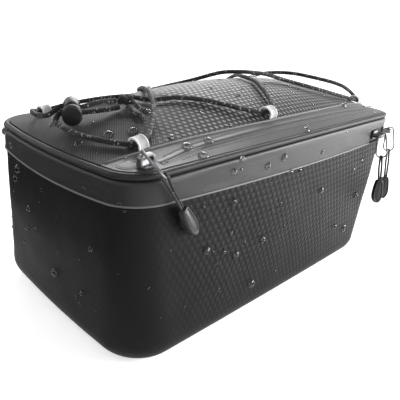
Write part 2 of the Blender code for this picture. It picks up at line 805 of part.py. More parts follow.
def corner_frame(angle, inset):
    """A frame on the main zip's near right-hand corner, at an angle round it."""
    flat_x = TOP_LENGTH / 2 - inset - TOP_END_BOW
    flat_y = TOP_WIDTH / 2 - inset - TOP_SIDE_BOW
    corner = TOP_CORNER - inset
    x = flat_x - corner + corner * sin(angle)
    y = -(flat_y - corner + corner * cos(angle))
    bowed_x = x * (1 + TOP_END_BOW / flat_x * (1 - (y / flat_y) ** 2))
    bowed_y = y * (1 + TOP_SIDE_BOW / flat_y * (1 - (x / flat_x) ** 2))
    place = Vector((bowed_x, bowed_y, zip_height(bowed_x, bowed_y)))
    return upright_frame(place, Vector((cos(angle), sin(angle), 0)))


def upright_frame(place, along):
    """A frame whose X is level and whose Y is up, at a place on a side wall."""
    up = Vector((0, 0, 1))
    frame = Matrix((along, up, along.cross(up))).transposed().to_4x4()
    frame.translation = place
    return frame


def slider_frames():
    """Each slider's frame: X along the zip, Z away from the zip, origin on the zip."""
    crest = BAND_WALL + GAP
    pocket_x = POCKET_SLIDER_ALONG * TOP_LENGTH / 2
    return {
        "pocket_slider": lid_frame(pocket_x, lid_side(pocket_x, 1, POCKET_SLIDER_SHARE)),
        "main_slider_a": near_side_frame(MAIN_SLIDER_ALONG * TOP_LENGTH / 2, crest),
        "main_slider_b": corner_frame(CORNER_SLIDER_ANGLE, crest),
    }


def slider(name, frame, finish):
    """A zip slider: a six-sided plate with a bridge over it."""
    half = SLIDER_LENGTH / 2
    wide = SLIDER_WIDTH / 2
    plan = ((half, 0), (half * 0.7, wide), (-half * 0.7, wide),
            (-half, 0), (-half * 0.7, -wide), (half * 0.7, -wide))
    base = SLIDER_STAND
    front = SLIDER_STAND + SLIDER_THICK
    rings = [[frame @ Vector((x * size, y * size, height)) for x, y in plan]
             for height, size in ((base, 0.94), (base + 0.0006, 1.0), (front - 0.0006, 1.0),
                                  (front, 0.90))]
    plate = loft(name, rings, finish)
    leg = half - 0.0002
    hole = leg - BRIDGE_THICK
    low = front - 0.0010
    top = front + BRIDGE_STANDS[name] + BRIDGE_THICK / 2
    under = top - BRIDGE_THICK
    arch = ((leg, low), (leg, top - 0.0016), (leg - 0.0018, top), (-leg + 0.0018, top),
            (-leg, top - 0.0016), (-leg, low), (-hole, low), (-hole, under - 0.0010),
            (-hole + 0.0010, under), (hole - 0.0010, under), (hole, under - 0.0010), (hole, low))
    rings = [[frame @ Vector((x, across, height)) for x, height in arch]
             for across in (-BRIDGE_WIDTH / 2, BRIDGE_WIDTH / 2)]
    boolean(plate, loft("bridge", rings, None), "UNION")
    return plate


def puller(row, frame, metal, cord, moulded):
    """The ring in a slider's bridge, the cord through the ring and the tab on the cord."""
    ring_name, cord_name, tab_name = row["names"]
    hang = Vector(row["hang"]).normalized()
    side = Vector(row["side"])
    side = (side - side.dot(hang) * hang).normalized()
    normal = hang.cross(side)
    stand = SLIDER_STAND + SLIDER_THICK + BRIDGE_STANDS[row["slider"]]
    bar = frame @ Vector((0, 0, stand))
    apex = bar - hang * RING_SEAT
    straight = RING_LENGTH - WIRE - RING_TOP_RADIUS - RING_END_RADIUS
    path = []
    for radius, down, start in ((RING_TOP_RADIUS, RING_TOP_RADIUS, 180),
                                (RING_END_RADIUS, RING_TOP_RADIUS + straight, 0)):
        for step in range(9):
            angle = radians(start + 180 * step / 8)
            path.append(apex + hang * (down + radius * sin(angle)) + side * radius * cos(angle))
    tube(ring_name, path, WIRE, metal, closed=True)
    reach = WIRE / 2 + GAP * 1.2 + PULL_CORD / 2
    end = apex + hang * (RING_TOP_RADIUS + straight)
    tab_top = tab_place(row)
    fall = tab_top - end
    pull = (fall - fall.dot(normal) * normal).normalized()
    seat = end + pull * RING_END_RADIUS
    way = Vector(row["tab_way"]).normalized()
    tab_side = (side - side.dot(way) * way).normalized()
    strand = tab_side * (PULL_CORD / 2 + GAP)
    turn = [seat + normal * reach * cos(radians(angle)) - pull * reach * sin(radians(angle))
            for angle in (0, 45, 90, 135, 180)]
    half_way = seat.lerp(tab_top, 0.4)
    path = [tab_top + strand, half_way + strand * 1.3, *turn, half_way - strand * 1.3,
            tab_top - strand]
    tube(cord_name, smooth_path(path, 2), PULL_CORD, cord, resolution=1)
    tab_frame = Matrix((tab_side, way.cross(tab_side), way)).transposed().to_4x4()
    tab_frame.translation = tab_top + way * GAP
    tab(tab_name, tab_frame, moulded)


def tab_place(row):
    """The top of a tab: outside the wall by its clearance, wherever the wall stands out most."""
    x = row["along"] * TOP_LENGTH / 2
    z = HEM_HEIGHT - row["below_hem"]
    lower = Vector(row["tab_way"]).normalized().z * TAB_LENGTH
    widest = max(mix(BASE_WIDTH, TOP_WIDTH, min(max(height / HEM_HEIGHT, 0), 1)) / 2
                 for height in (z, z + lower))
    return Vector((x, -widest - row["clear"], z))


def tab(name, frame, finish):
    """A moulded pull tab along a frame's Z, with a raised rim on both faces."""
    half = TAB_THICK / 2
    levels = ((TAB_RIM + 0.0004, -half + TAB_DISH), (TAB_RIM, -half), (0.0008, -half),
              (0.0, -half + 0.0010), (0.0, half - 0.0010), (0.0008, half), (TAB_RIM, half),
              (TAB_RIM + 0.0004, half - TAB_DISH))
    rings = []
    for inset, level in levels:
        wide = TAB_WIDTH / 2 - inset
        long = TAB_LENGTH - 2 * inset
        right = [(wide * row["wide"], inset + long * row["down"]) for row in TAB_SHAPE]
        left = [(-x, z) for x, z in reversed(right)]
        rings.append([frame @ Vector((x, level, z)) for x, z in right + left])
    return loft(name, rings, finish)


def main():
    """Makes every piece of the bag."""
    for old in list(bpy.data.objects):
        bpy.data.objects.remove(old)
    coated = material("coated_fabric", (0.02, 0.02, 0.022), 0.45)
    band = material("band_fabric", (0.05, 0.05, 0.052), 0.4)
    mesh_cloth = material("mesh_fabric", (0.08, 0.08, 0.082), 0.6)
    strip = material("zip_strip", (0.09, 0.09, 0.092), 0.45)
    tape = material("zip_tape", (0.015, 0.015, 0.016), 0.7)
    webbing = material("reflective_webbing", (0.45, 0.45, 0.45), 0.5)
    cord = material("elastic_cord", (0.03, 0.03, 0.03), 0.8)
    moulded = material("moulded_plastic", (0.03, 0.03, 0.032), 0.4)
    metal = material("gunmetal", (0.35, 0.35, 0.36), 0.3, 1.0)
    body_shell(coated)
    lid_band(band)
    zip_tape(tape)
    rim_piping(band)
    lid_top(mesh_cloth)
    pocket_strip(strip)
    for row in LOOPS:
        webbing_loop(row, webbing)
    route = [*map(on_plan, KNOT_TO_LOCK), *lock_pass(STRAND_HEIGHT, STRAND_REACH),
             *map(on_plan, LACING), *lock_pass(-STRAND_HEIGHT, -STRAND_REACH),
             *map(on_plan, LOCK_TO_KNOT)]
    tube("bungee_cord", thinned(cord_path(route, ROUTE_STEPS), CORD_POINTS), CORD, cord)
    knot(cord)
    for row in TAILS:
        tube(row["name"], cord_path([*map(on_plan, row["route"])], 3), CORD, cord)
    lock_barrel(moulded)
    lock_button(moulded)
    frames = slider_frames()
    for name, frame in frames.items():
        slider(name, frame, metal)
    for row in PULLERS:
        puller(row, frames[row["slider"]], metal, cord, moulded)


main()
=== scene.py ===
"""Looks of the bicycle rack bag: its cloth, cord, zips and metal over the packed model.

Metres, in the model's own frame: +Z up, +X along the bag to its sloping end, and the long
side with the pocket zip faces -Y. Run it in Blender's background mode or text editor.
"""
from math import atan2, cos, pi, radians, sin, sqrt, tau
from random import Random

import bmesh
import bpy
from bpy.props import FloatProperty, FloatVectorProperty, IntProperty
from mathutils import Matrix, Vector, noise


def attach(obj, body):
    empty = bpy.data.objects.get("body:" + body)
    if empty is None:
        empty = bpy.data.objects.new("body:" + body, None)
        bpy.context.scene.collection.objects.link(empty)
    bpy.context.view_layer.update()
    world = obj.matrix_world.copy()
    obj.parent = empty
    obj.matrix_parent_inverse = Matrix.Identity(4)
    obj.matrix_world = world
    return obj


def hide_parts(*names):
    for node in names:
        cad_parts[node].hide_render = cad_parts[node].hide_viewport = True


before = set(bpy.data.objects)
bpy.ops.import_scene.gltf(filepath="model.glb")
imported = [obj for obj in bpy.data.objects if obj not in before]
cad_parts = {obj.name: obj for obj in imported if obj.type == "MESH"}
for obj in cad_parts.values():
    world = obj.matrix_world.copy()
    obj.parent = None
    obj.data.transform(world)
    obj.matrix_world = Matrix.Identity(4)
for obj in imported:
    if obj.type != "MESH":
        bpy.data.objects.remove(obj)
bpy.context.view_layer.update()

bl_info = {
    "name": "Bicycle rack bag",
    "version": (1, 0, 0),
    "blender": (4, 5, 0),
    "location": "View3D > Sidebar > Rack bag",
    "description": "Makes the bag's cloth, cord, zips, pullers and stage round the packed model",
    "category": "Object",
}

# Sizes of the packed model, repeated in metres
GAP = 0.0003
TOP_LENGTH = 0.360
TOP_WIDTH = 0.189
TOP_CORNER = 0.022
TOP_END_BOW = 0.0081
TOP_SIDE_BOW = 0.0048
BASE_LENGTH = 0.331
BASE_WIDTH = 0.197
BASE_CORNER = 0.034
BASE_END_BOW = 0.0041
BASE_SIDE_BOW = 0.0010
BASE_SHIFT = -0.013
BASE_ROUND = 0.0195
HEM_HEIGHT = 0.1189
BAND_HEIGHT = 0.0233
RIM_TILT = 0.0029
RIM_DROOP = 0.0028
HEM_RISE = 0.0028
HEM_DROOP = 0.0038
FLOOR = 0.004
NECK_WALL = 0.0025
BAND_WALL = 0.0020
BAND_STAND = 0.0010
FLANGE_WIDTH = 0.0090
FLANGE_THICK = 0.0020
LID_WALL = 0.0040
STRIP_WALL = 0.0032
ZIP_ABOVE_HEM = 0.0080
TAPE_WIDTH = 0.0060
TAPE_THICK = 0.0008
COIL_RISE = 0.0007
NOTCH_START = 0.6806
NOTCH_RISE = 0.0138
NOTCH_PAST_CORNER = 0.012
PIPING = 0.0044
LID_RISE = 0.0290
CROWN_ALONG = 0.0778
END_ROLL = 0.0040
ROLL_POWER = 10
DENTS = (
    {"along": 0.1833, "across": 0.0000, "depth": 0.0022, "radius": 0.0180},
    {"along": -0.5111, "across": -0.0899, "depth": 0.0020, "radius": 0.0150},
)
LEFT_FALL = 2.3
RIGHT_FALL = 2.1
SIDE_FALL = 1.55
SEAM_SHARE = 0.794
SEAM_CURVE = 0.110
LOOP_WIDTH = 0.008
LOOP_SPAN = 0.0125
LOOP_INSIDE = 0.0054
LOOP_THICK = 0.0012
LOOP_STAND = 0.0005
FAR_LOOP_SHARE = 0.860
LOOPS = (
    {"name": "loop_near_1", "side": -1, "along": -0.779},
    {"name": "loop_near_2", "side": -1, "along": -0.086},
    {"name": "loop_near_3", "side": -1, "along": 0.878},
    {"name": "loop_far_1", "side": 1, "along": -0.780},
    {"name": "loop_far_2", "side": 1, "along": -0.167},
    {"name": "loop_far_3", "side": 1, "along": 0.530},
)
LOCK_ALONG = -0.8361
LOCK_ACROSS = 0.0899
LOCK_LIFT = 2.050
LOCK_TURN = radians(-30)
LOCK_TILT = radians(14)
CORD = 0.0040
STRAND_HEIGHT = 0.0022
STRAND_REACH = 0.0080

# The cord's route: shares of the lid's half length and half width, and lift in diameters
KNOT_TO_LOCK = (
    (-0.6556, 0.0042, 0.875),
    (-0.7278, 0.0053, 1.750),
)
LACING = (
    (-0.9111, 0.1905, 2.200),
    (-0.9194, 0.3069, 1.875),
    (-0.9044, 0.4656, 1.550),
    (-0.8750, 0.5926, 1.200),
    (-0.8333, 0.6878, 0.500),
    (-0.7800, 0.7228, 0.000),
    (-0.7028, 0.6349, 0.250),
    (-0.6444, 0.4233, 0.375),
    (-0.5750, 0.1481, 0.250),
    (-0.5056, -0.0847, 0.000),
    (-0.3556, -0.3175, 0.000),
    (-0.2056, -0.5926, 0.000),
    (-0.0861, -0.6878, 0.000),
    (-0.0111, -0.6243, 0.000),
    (0.1000, -0.3175, 0.100),
    (0.1833, 0.0000, 0.150),
    (0.3333, 0.4233, 0.000),
    (0.4500, 0.6772, 0.000),
    (0.5300, 0.7365, 0.000),
    (0.5889, 0.6772, 0.125),
    (0.6278, 0.4233, 1.750),
    (0.6778, -0.0423, 1.950),
    (0.7889, -0.3810, 2.500),
    (0.8889, -0.4656, 1.875),
    (0.9361, -0.5238, 0.625),
    (0.9250, -0.5767, 0.125),
    (0.8778, -0.5820, 0.000),
    (0.7778, -0.5608, 0.000),
    (0.5556, -0.4127, 0.250),
    (0.3889, -0.2011, 0.250),
    (0.1833, 0.0000, 1.300),
    (0.0278, 0.4233, 0.000),
    (-0.0833, 0.6984, 0.000),
    (-0.1672, 0.7513, 0.000),
    (-0.2444, 0.6772, 0.000),
    (-0.3556, 0.3704, 0.000),
    (-0.4611, 0.0952, 0.500),
    (-0.5139, -0.0952, 1.250),
    (-0.5917, -0.3175, 0.500),
    (-0.7056, -0.5291, 0.000),
    (-0.7778, -0.6032, 0.000),
    (-0.8111, -0.5693, 0.000),
    (-0.8472, -0.4762, 0.075),
    (-0.8750, -0.3651, 0.200),
    (-0.8967, -0.2434, 0.375),
    (-0.9067, -0.1058, 0.625),
    (-0.9111, 0.0212, 0.900),
    (-0.9033, 0.1111, 1.200),
)
LOCK_TO_KNOT = (
    (-0.7278, -0.0212, 0.375),
    (-0.6589, -0.0593, 0.000),
)
KNOT_AT = (-0.6233, -0.0423, 0.800)
TAILS = (
    {"name": "cord_tail_a", "route": ((-0.6389, -0.1185, 0.200), (-0.6478, -0.2116, 0.000),
                                      (-0.6511, -0.2963, 0.125))},
    {"name": "cord_tail_b", "route": ((-0.6089, -0.1185, 0.550), (-0.6167, -0.2063, 0.250),
                                      (-0.6217, -0.2804, 0.300))},
)

# Sliders and pullers
SLIDER_THICK = 0.0024
SLIDER_STAND = 0.0005
POCKET_SLIDER_ALONG = -0.8556
POCKET_SLIDER_SHARE = -0.930
BRIDGE_STANDS = {"pocket_slider": 0.0052, "main_slider_a": 0.0066, "main_slider_b": 0.0066}
MAIN_SLIDER_ALONG = 0.7444
CORNER_SLIDER_ANGLE = radians(32)
WIRE = 0.0016
RING_LENGTH = 0.0268
RING_TOP_RADIUS = 0.0040
RING_END_RADIUS = 0.0054
RING_SEAT = 0.0037
PULL_CORD = 0.0014
TAB_LENGTH = 0.0240
TAB_WIDTH = 0.0100
TAB_THICK = 0.0055
TAB_RIM = 0.0016
TAB_DISH = 0.0006
TAB_SHAPE = ((0.00, 0.42), (0.05, 0.62), (0.25, 0.82), (0.60, 1.00), (0.82, 0.88),
             (0.95, 0.58), (1.00, 0.28))
PULLERS = (
    {"names": ("pocket_ring", "pocket_cord", "pocket_tab"), "slider": "pocket_slider",
     "hang": (-0.17, -0.92, -0.31), "side": (0.78, 0.25, -0.58),
     "along": -0.7639, "clear": 0.0008, "below_hem": 0.0009, "tab_way": (0.538, -0.020, -0.843)},
    {"names": ("main_ring_a", "main_cord_a", "main_tab_a"), "slider": "main_slider_a",
     "hang": (0.0, -0.20, -0.98), "side": (0.725, -0.689, 0.0),
     "along": 0.7306, "clear": 0.0106, "below_hem": 0.0334, "tab_way": (0.0, -0.06, -1.0)},
    {"names": ("main_ring_b", "main_cord_b", "main_tab_b"), "slider": "main_slider_b",
     "hang": (0.06, -0.14, -0.99), "side": (0.725, -0.689, 0.0),
     "along": 0.9389, "clear": 0.0019, "below_hem": 0.0399, "tab_way": (0.0, -0.06, -1.0)},
)

# The photograph's camera
CAMERA_PLACE = (-0.3206, -0.2740, 0.2283)
CAMERA_YAW = 0.760
CAMERA_PITCH = -0.3733
CAMERA_ROLL = 0.060
CAMERA_LENS = 1.1318 * 36
CAMERA_SHIFT = (0.0836, -0.0213)
DRAPE_WAY = (0.929, -0.371)
DRAPE_EDGE = (-0.290, -0.235)
DRAPE_REACH = (1.7, 2.4)

# The stage
FLOOR_RINGS = (0.05, 0.5, 1.2, 2.2)
FLOOR_CURVE = 0.9
FLOOR_STEPS = 12
FLOOR_TURNS = 96
FLOOR_BELOW = 0.0004
WALL_HEIGHT = 3.2
LIGHT_AIM = Vector((0.0, 0.0, 0.10))
DROP_SIZES = (0.0008, 0.0042)
DROP_SPREAD = 2.6
DROP_RINGS = 6
DROP_ANGLE = 16.5
DROP_TURNS = 12
DROP_HEIGHT = 0.75
DROP_SUNK = 0.1

# The dressing
NEAR_BLACK = (0.05, 0.05, 0.05)
PATCH_COLOUR = (0.24, 0.24, 0.24)
TAPE_COLOUR = (0.014, 0.014, 0.015)
COIL_COLOUR = (0.02, 0.02, 0.02)
WEBBING_EDGE = (0.62, 0.62, 0.62)
RIM_SIDES = 18
HEM_EDGE = 0.0014
HEM_PROUD = 0.0006
SEAM_RADIUS = 0.00075
STITCH_OFF = 0.054
SEAM_STITCH_OFF = 0.028
PATCH_ALONG = (-0.985, -0.920)
PATCH_ACROSS = (-0.90, -0.775)
PATCH_STEPS = 8
PATCH_RIM = 0.0001
PATCH_PROUD = 0.0009

BODY = "bag"


def mix(low, high, share):
    return low + (high - low) * share


def ease(low, high, value):
    """A smooth step from 0 at low to 1 at high."""
    share = min(max((value - low) / (high - low), 0.0), 1.0)
    return share * share * (3 - 2 * share)


def shade(colour, share):
    """A colour made darker or lighter by a share."""
    return [part * share for part in colour]


def up_of(place):
    """The Z direction of a frame."""
    return place.to_3x3() @ Vector((0, 0, 1))


def placed(name, data):
    """A new object in the scene."""
    made = bpy.data.objects.new(name, data)
    bpy.context.scene.collection.objects.link(made)
    return made


def mesh_of(name, bm):
    """A bmesh turned into a mesh."""
    mesh = bpy.data.meshes.new(name)
    bm.to_mesh(mesh)
    bm.free()
    return mesh


# ---------------------------------------------------------------- shader building

class Value:
    """A shader socket that takes part in ordinary sums."""

    def __init__(self, finish, socket):
        self.finish = finish
        self.socket = socket

    def math(self, operation, *others):
        return self.finish.sum(operation, self, *others)

    def __add__(self, other):
        return self.math("ADD", other)

    def __sub__(self, other):
        return self.math("SUBTRACT", other)

    def __rsub__(self, other):
        return self.finish.sum("SUBTRACT", other, self)

    def __mul__(self, other):
        return self.math("MULTIPLY", other)

    def __truediv__(self, other):
        return self.math("DIVIDE", other)

    __radd__ = __add__
    __rmul__ = __mul__


class Finish:
    """One finish: a material on a Principled shader, with short ways to add nodes."""

    def __init__(self, name, colour, roughness, **fixed):
        self.material = bpy.data.materials.new(name)
        self.material.use_nodes = True
        self.tree = self.material.node_tree
        self.shader = self.tree.nodes["Principled BSDF"]
        self.put("Base Color", (*colour, 1.0))
        self.put("Roughness", roughness)
        for key, value in fixed.items():
            self.put(key.replace("_", " "), value)

    def put(self, name, value):
        """Sets or links one of the shader's own sockets."""
        self.feed(self.shader.inputs[name], value)

    def feed(self, socket, value):
        if isinstance(value, Value):
            self.tree.links.new(value.socket, socket)
        else:
            socket.default_value = value

    def node(self, kind, settings=None, inputs=None, output=0):
        """A node of a type, its settings first and then the values or links of its sockets."""
        made = self.tree.nodes.new(kind)
        for key, value in (settings or {}).items():
            setattr(made, key, value)
        for key, value in (inputs or {}).items():
            self.feed(made.inputs[key], value)
        return Value(self, made.outputs[output])

    def sum(self, operation, *values):
        return self.node("ShaderNodeMath", {"operation": operation}, dict(enumerate(values)))

    def place(self, source="Object", turn=(0, 0, 0), scale=(1, 1, 1)):
        """Coordinates on the piece, turned and scaled by a Mapping node."""
        found = self.node("ShaderNodeTexCoord", output={"Object": 3, "UV": 2}[source])
        return self.node("ShaderNodeMapping", None,
                         {"Vector": found, "Rotation": turn, "Scale": scale})

    def split(self, vector):
        parts = self.node("ShaderNodeSeparateXYZ", None, {0: vector})
        return [Value(self, socket) for socket in parts.socket.node.outputs]

    def grain(self, place, scale, detail=3.0, rough=0.5):
        """Noise from 0 to 1."""
        return self.node("ShaderNodeTexNoise", None, {
            "Vector": place, "Scale": scale, "Detail": detail, "Roughness": rough})

    def step(self, value, low, high):
        """A smooth step from 0 at low to 1 at high."""
        return self.node("ShaderNodeMapRange", {"interpolation_type": "SMOOTHSTEP"},
                         {"Value": value, "From Min": low, "From Max": high})

    def tint(self, share, low, high):
        """A colour between two colours."""
        inputs = {0: share}
        for index, colour in ((6, low), (7, high)):
            inputs[index] = colour if isinstance(colour, Value) else (*colour, 1.0)
        return self.node("ShaderNodeMix", {"data_type": "RGBA"}, inputs, output=2)

    def raise_by(self, height, distance):
        """Feeds a height in shares of a distance to the shader's normal."""
        self.put("Normal", self.node("ShaderNodeBump", None, {
            "Height": height, "Distance": distance, "Strength": 1.0}))

    def lattice(self, across, along, pitch):
        """Distance to the nearest centre of a hexagonal lattice, in pitches."""
        nearest = None
        for shift in (0.0, 0.5):
            x = (across / pitch + shift).math("FRACT") - 0.5
            y = (along / (pitch * sqrt(3)) + shift).math("FRACT") - 0.5
            away = (x * x + y * y * 3).math("SQRT")
            nearest = away if nearest is None else nearest.math("MINIMUM", away)
        return nearest

    def wave(self, value, pitch):
        """A smooth wave from 0 to 1 with a pitch in metres."""
        return (value * (tau / pitch)).math("SINE") * 0.5 + 0.5


def dotted_cloth(name, colour, dot_highlight_and_scuff_colour, pitch, dot_size, height, roughness, gloss, ribs,
                 fade):
    """Coated cloth pressed into round raised dots, with a fine grain, soft wear and a painted
    highlight on the dots' crowns.
    """
    made = Finish(name, colour, roughness, Specular_IOR_Level=gloss)
    across, along, _ = made.split(made.place("UV"))
    spot = made.place("Object")
    drift = made.grain(spot, 22.0, 2.0)
    fine = made.grain(spot, 900.0, 3.0, 0.6)
    away = made.lattice(across, along, pitch)
    shown = fade(made, spot)
    dome = (1 - made.step(away, dot_size * 0.45, dot_size)) * shown
    crown = (1 - made.step(away, dot_size * 0.2, dot_size * 0.8)) * shown
    rib = made.wave(across * 0.8 - along * 0.6, pitch * 0.30) * (1 - shown) * ribs
    scuff = made.step(made.grain(spot, 60.0, 4.0, 0.62), 0.60, 0.78)
    ground = made.tint(drift, shade(colour, 0.70), shade(colour, 1.15))
    # Painted highlight: the dots' crowns and the ribs' crests are painted towards the dot
    # highlight colour; the random scuffs lean to it too.
    lit = made.tint(crown * 0.85 + rib * 0.16 + scuff * 0.10, ground, dot_highlight_and_scuff_colour)
    made.put("Base Color", lit)
    made.put("Roughness", roughness + drift * 0.10 - dome * 0.10 + fine * 0.06)
    made.raise_by(dome + rib * 0.25 + fine * 0.05, height)
    return made.material


def lid_fade(made, spot):
    """The lid's dots run into fine ribs towards its left-hand end."""
    x, y, _ = made.split(spot)
    return made.step(x - y * 0.5 + made.grain(spot, 14.0) * 0.04, -0.100, -0.020)


def tub_fade(made, spot):
    """The tub's dots sink away towards its base and its two ends."""
    x, _, z = made.split(spot)
    drift = made.grain(spot, 9.0) * 0.05
    ends = made.step(x + drift, -0.150, -0.050) * (1 - made.step(x - drift, 0.125, 0.165))
    return made.step(z + drift, 0.020, 0.090) * ends * 0.90 + 0.10


def smooth_cloth(name, colour, roughness, rib=0.0):
    """Smooth coated cloth with faint drawn lines along it."""
    made = Finish(name, colour, roughness, Specular_IOR_Level=0.22)
    uv = made.place("UV", scale=(14.0, 620.0, 1.0))
    drawn = made.grain(uv, 1.0, 4.0, 0.6)
    spot = made.place("Object")
    cloud = made.grain(spot, 18.0, 3.0)
    fine = made.grain(spot, 1300.0, 2.0)
    made.put("Base Color", made.tint(cloud * 0.6 + drawn * 0.4,
                                     shade(colour, 0.72), shade(colour, 1.30)))
    made.put("Roughness", roughness - 0.08 + drawn * 0.14 + cloud * 0.08)
    height = drawn * 0.5 + fine * 0.3
    if rib:
        across, _, _ = made.split(made.place("UV"))
        height = height + made.wave(across, rib) * 0.5
    made.raise_by(height, 0.00026)
    return made.material


def zip_film(name, colour):
    """The pocket zip's coated tapes, ribbed by the coil beneath and slit down the middle."""
    made = Finish(name, colour, 0.38, Specular_IOR_Level=0.22)
    along, across, _ = made.split(made.place("UV"))
    off = (across - 0.5).math("ABSOLUTE")
    near = 1 - made.step(off, 0.18, 0.34)
    slit = 1 - made.step(off, 0.010, 0.045)
    rib = made.wave(along, 0.0013)
    cloud = made.grain(made.place("Object"), 30.0)
    film = made.tint(cloud, shade(colour, 0.8), shade(colour, 1.25))
    # The slit is painted near-black: the dark coil beneath, darkened further as painted shade in
    # the gap.
    made.put("Base Color", made.tint(slit, film, (0.004, 0.004, 0.004)))
    made.put("Roughness", 0.34 + cloud * 0.12 + slit * 0.3)
    made.raise_by(rib * near * 0.6 - slit * 1.5, 0.0003)
    return made.material


def woven_tape(name, colour, edge_colour, width_share, pitch, roughness=0.75):
    """Narrow woven tape: cross ribs, a herringbone and firmer edges; V runs across it."""
    made = Finish(name, colour, roughness)
    along, across, _ = made.split(made.place("UV"))
    off = (across - 0.5).math("ABSOLUTE") * 2
    edge = made.step(off, width_share, width_share + 0.08)
    slant = off * (pitch * 2.2)
    weave = made.wave(along + slant, pitch)
    cross = made.wave(across, 0.125)
    cloud = made.grain(made.place("Object"), 90.0, 3.0)
    body = made.tint(weave * 0.45 + cross * 0.2 + cloud * 0.3,
                     shade(colour, 0.68), shade(colour, 1.22))
    made.put("Base Color", made.tint(edge, body, edge_colour))
    made.put("Roughness", roughness - 0.12 + cloud * 0.16)
    made.raise_by(weave * 0.7 + cross * 0.25 + edge * 0.4, 0.00025)
    return made.material


def braid(name, colour, fleck_colour, strand, around, flecks):
    """Round braid: two sets of crossing strands with light threads; U runs along it."""
    made = Finish(name, colour, 0.72, Specular_IOR_Level=0.25, Sheen_Weight=0.08)
    along, turn, _ = made.split(made.place("UV"))
    lines = along / strand
    twist = turn * around
    over, under = (way.math("SINE").math("ABSOLUTE")
                   for way in ((lines + twist) * pi, (lines - twist) * pi))
    check = (lines * pi).math("SINE") * (twist * pi).math("SINE")
    top = made.step(check, -0.15, 0.15)
    height = over * top + under * (1 - top)
    cell = (lines + twist).math("FLOOR") * 0.618 + (lines - twist).math("FLOOR") * 0.382
    pick = made.node("ShaderNodeTexWhiteNoise", {"noise_dimensions": "1D"}, {"W": cell})
    light = made.step(pick, 1 - flecks, 1 - flecks + 0.05) * made.step(height, 0.45, 0.85)
    fuzz = made.grain(made.place("Object"), 2400.0, 2.0)
    # Painted shade and highlight: the strands are painted darker in the hollows between them and
    # lighter on their crowns.
    dark = made.tint(height, shade(colour, 0.35), shade(colour, 1.3))
    made.put("Base Color", made.tint(light, dark, fleck_colour))
    made.put("Roughness", 0.62 + fuzz * 0.2 - light * 0.12)
    made.raise_by(height + fuzz * 0.15, 0.00050)
    return made.material


def moulded_plastic(name, colour, roughness=0.38):
    """Moulded plastic with a spark-eroded grain and paler rubbed places."""
    made = Finish(name, colour, roughness, Specular_IOR_Level=0.3)
    spot = made.place("Object")
    grain = made.grain(spot, 1900.0, 3.0, 0.6)
    rub = made.step(made.grain(spot, 170.0, 4.0, 0.6), 0.52, 0.75)
    made.put("Base Color", made.tint(rub * 0.5 + grain * 0.2, colour,
                                     [part * 2.2 + 0.01 for part in colour]))
    made.put("Roughness", roughness - 0.06 + grain * 0.16 + rub * 0.08)
    made.raise_by(grain, 0.00006)
    return made.material


def plated_metal(name, colour, roughness):
    """Plated zinc: fine polishing marks, cloudy gloss and worn spots."""
    made = Finish(name, colour, roughness, Metallic=1.0)
    spot = made.place("Object")
    marks = made.grain(made.place("Object", scale=(1.0, 5.0, 9.0)), 420.0, 3.0, 0.6)
    cloud = made.grain(spot, 130.0, 3.0)
    worn = made.step(made.grain(spot, 260.0, 4.0, 0.65), 0.55, 0.74)
    made.put("Base Color", made.tint(worn * 0.7 + cloud * 0.3, shade(colour, 0.8),
                                     [min(part * 1.5, 0.9) for part in colour]))
    made.put("Roughness", roughness - 0.05 + marks * 0.14 + cloud * 0.08)
    made.raise_by(marks, 0.00003)
    return made.material


def thread_finish(name, colour):
    """Sewing thread with a twist."""
    made = Finish(name, colour, 0.7)
    spot = made.place("Object", turn=(0, 0, radians(35)))
    x, y, _ = made.split(spot)
    twist = made.wave(x + y, 0.0004)
    made.put("Base Color", made.tint(twist, shade(colour, 0.6), shade(colour, 1.3)))
    made.put("Roughness", 0.62 + twist * 0.15)
    made.raise_by(twist, 0.00005)
    return made.material


def pale_floor(colour, glow):
    """The studio's pale floor, with a dark drape over its left-hand side."""
    made = Finish("studio_floor", colour, 0.75, Emission_Strength=glow)
    spot = made.place("Object")
    x, y, _ = made.split(spot)
    pale = made.step(x * DRAPE_WAY[0] + y * DRAPE_WAY[1], DRAPE_EDGE[0], DRAPE_EDGE[1])
    pale = pale.math("MAXIMUM", made.step((x * x + y * y).math("SQRT"), *DRAPE_REACH))
    cloud = made.grain(spot, 3.0, 2.0)
    cloth = made.tint(cloud, shade(colour, 0.985),
                      [min(part * 1.01, 0.99) for part in colour])
    made.put("Base Color", made.tint(pale, (0.012, 0.012, 0.012), cloth))
    made.put("Emission Color", made.tint(pale, (0.0, 0.0, 0.0), (1.0, 1.0, 1.0)))
    made.put("Roughness", 0.7 + cloud * 0.1)
    return made.material


def clear_water():
    """Clear water for the drops on the stage."""
    made = Finish("water", (0.9, 0.9, 0.9), 0.02, IOR=1.33, Transmission_Weight=1.0)
    made.put("Roughness", made.grain(made.place("Object"), 300.0, 1.0) * 0.04)
    return made.material


FINISHES = {}


def finish(make, name, *values):
    """The finish of a name, made when it is first asked for."""
    if name not in FINISHES:
        FINISHES[name] = make(name, *values)
    return FINISHES[name]


# ---------------------------------------------------------------- the bag's own shape

CORNER_STEPS = 12
SIDE_STEPS = 78
END_STEPS = 40
LEAST_CORNER = 0.002
LID_COLUMNS = 130
LID_X = TOP_LENGTH / 2 - PIPING - GAP
LID_Y = TOP_WIDTH / 2 - PIPING - GAP
LID_FLAT_X = LID_X - TOP_END_BOW
LID_FLAT_Y = LID_Y - TOP_SIDE_BOW
LID_CORNER = TOP_CORNER - PIPING - GAP


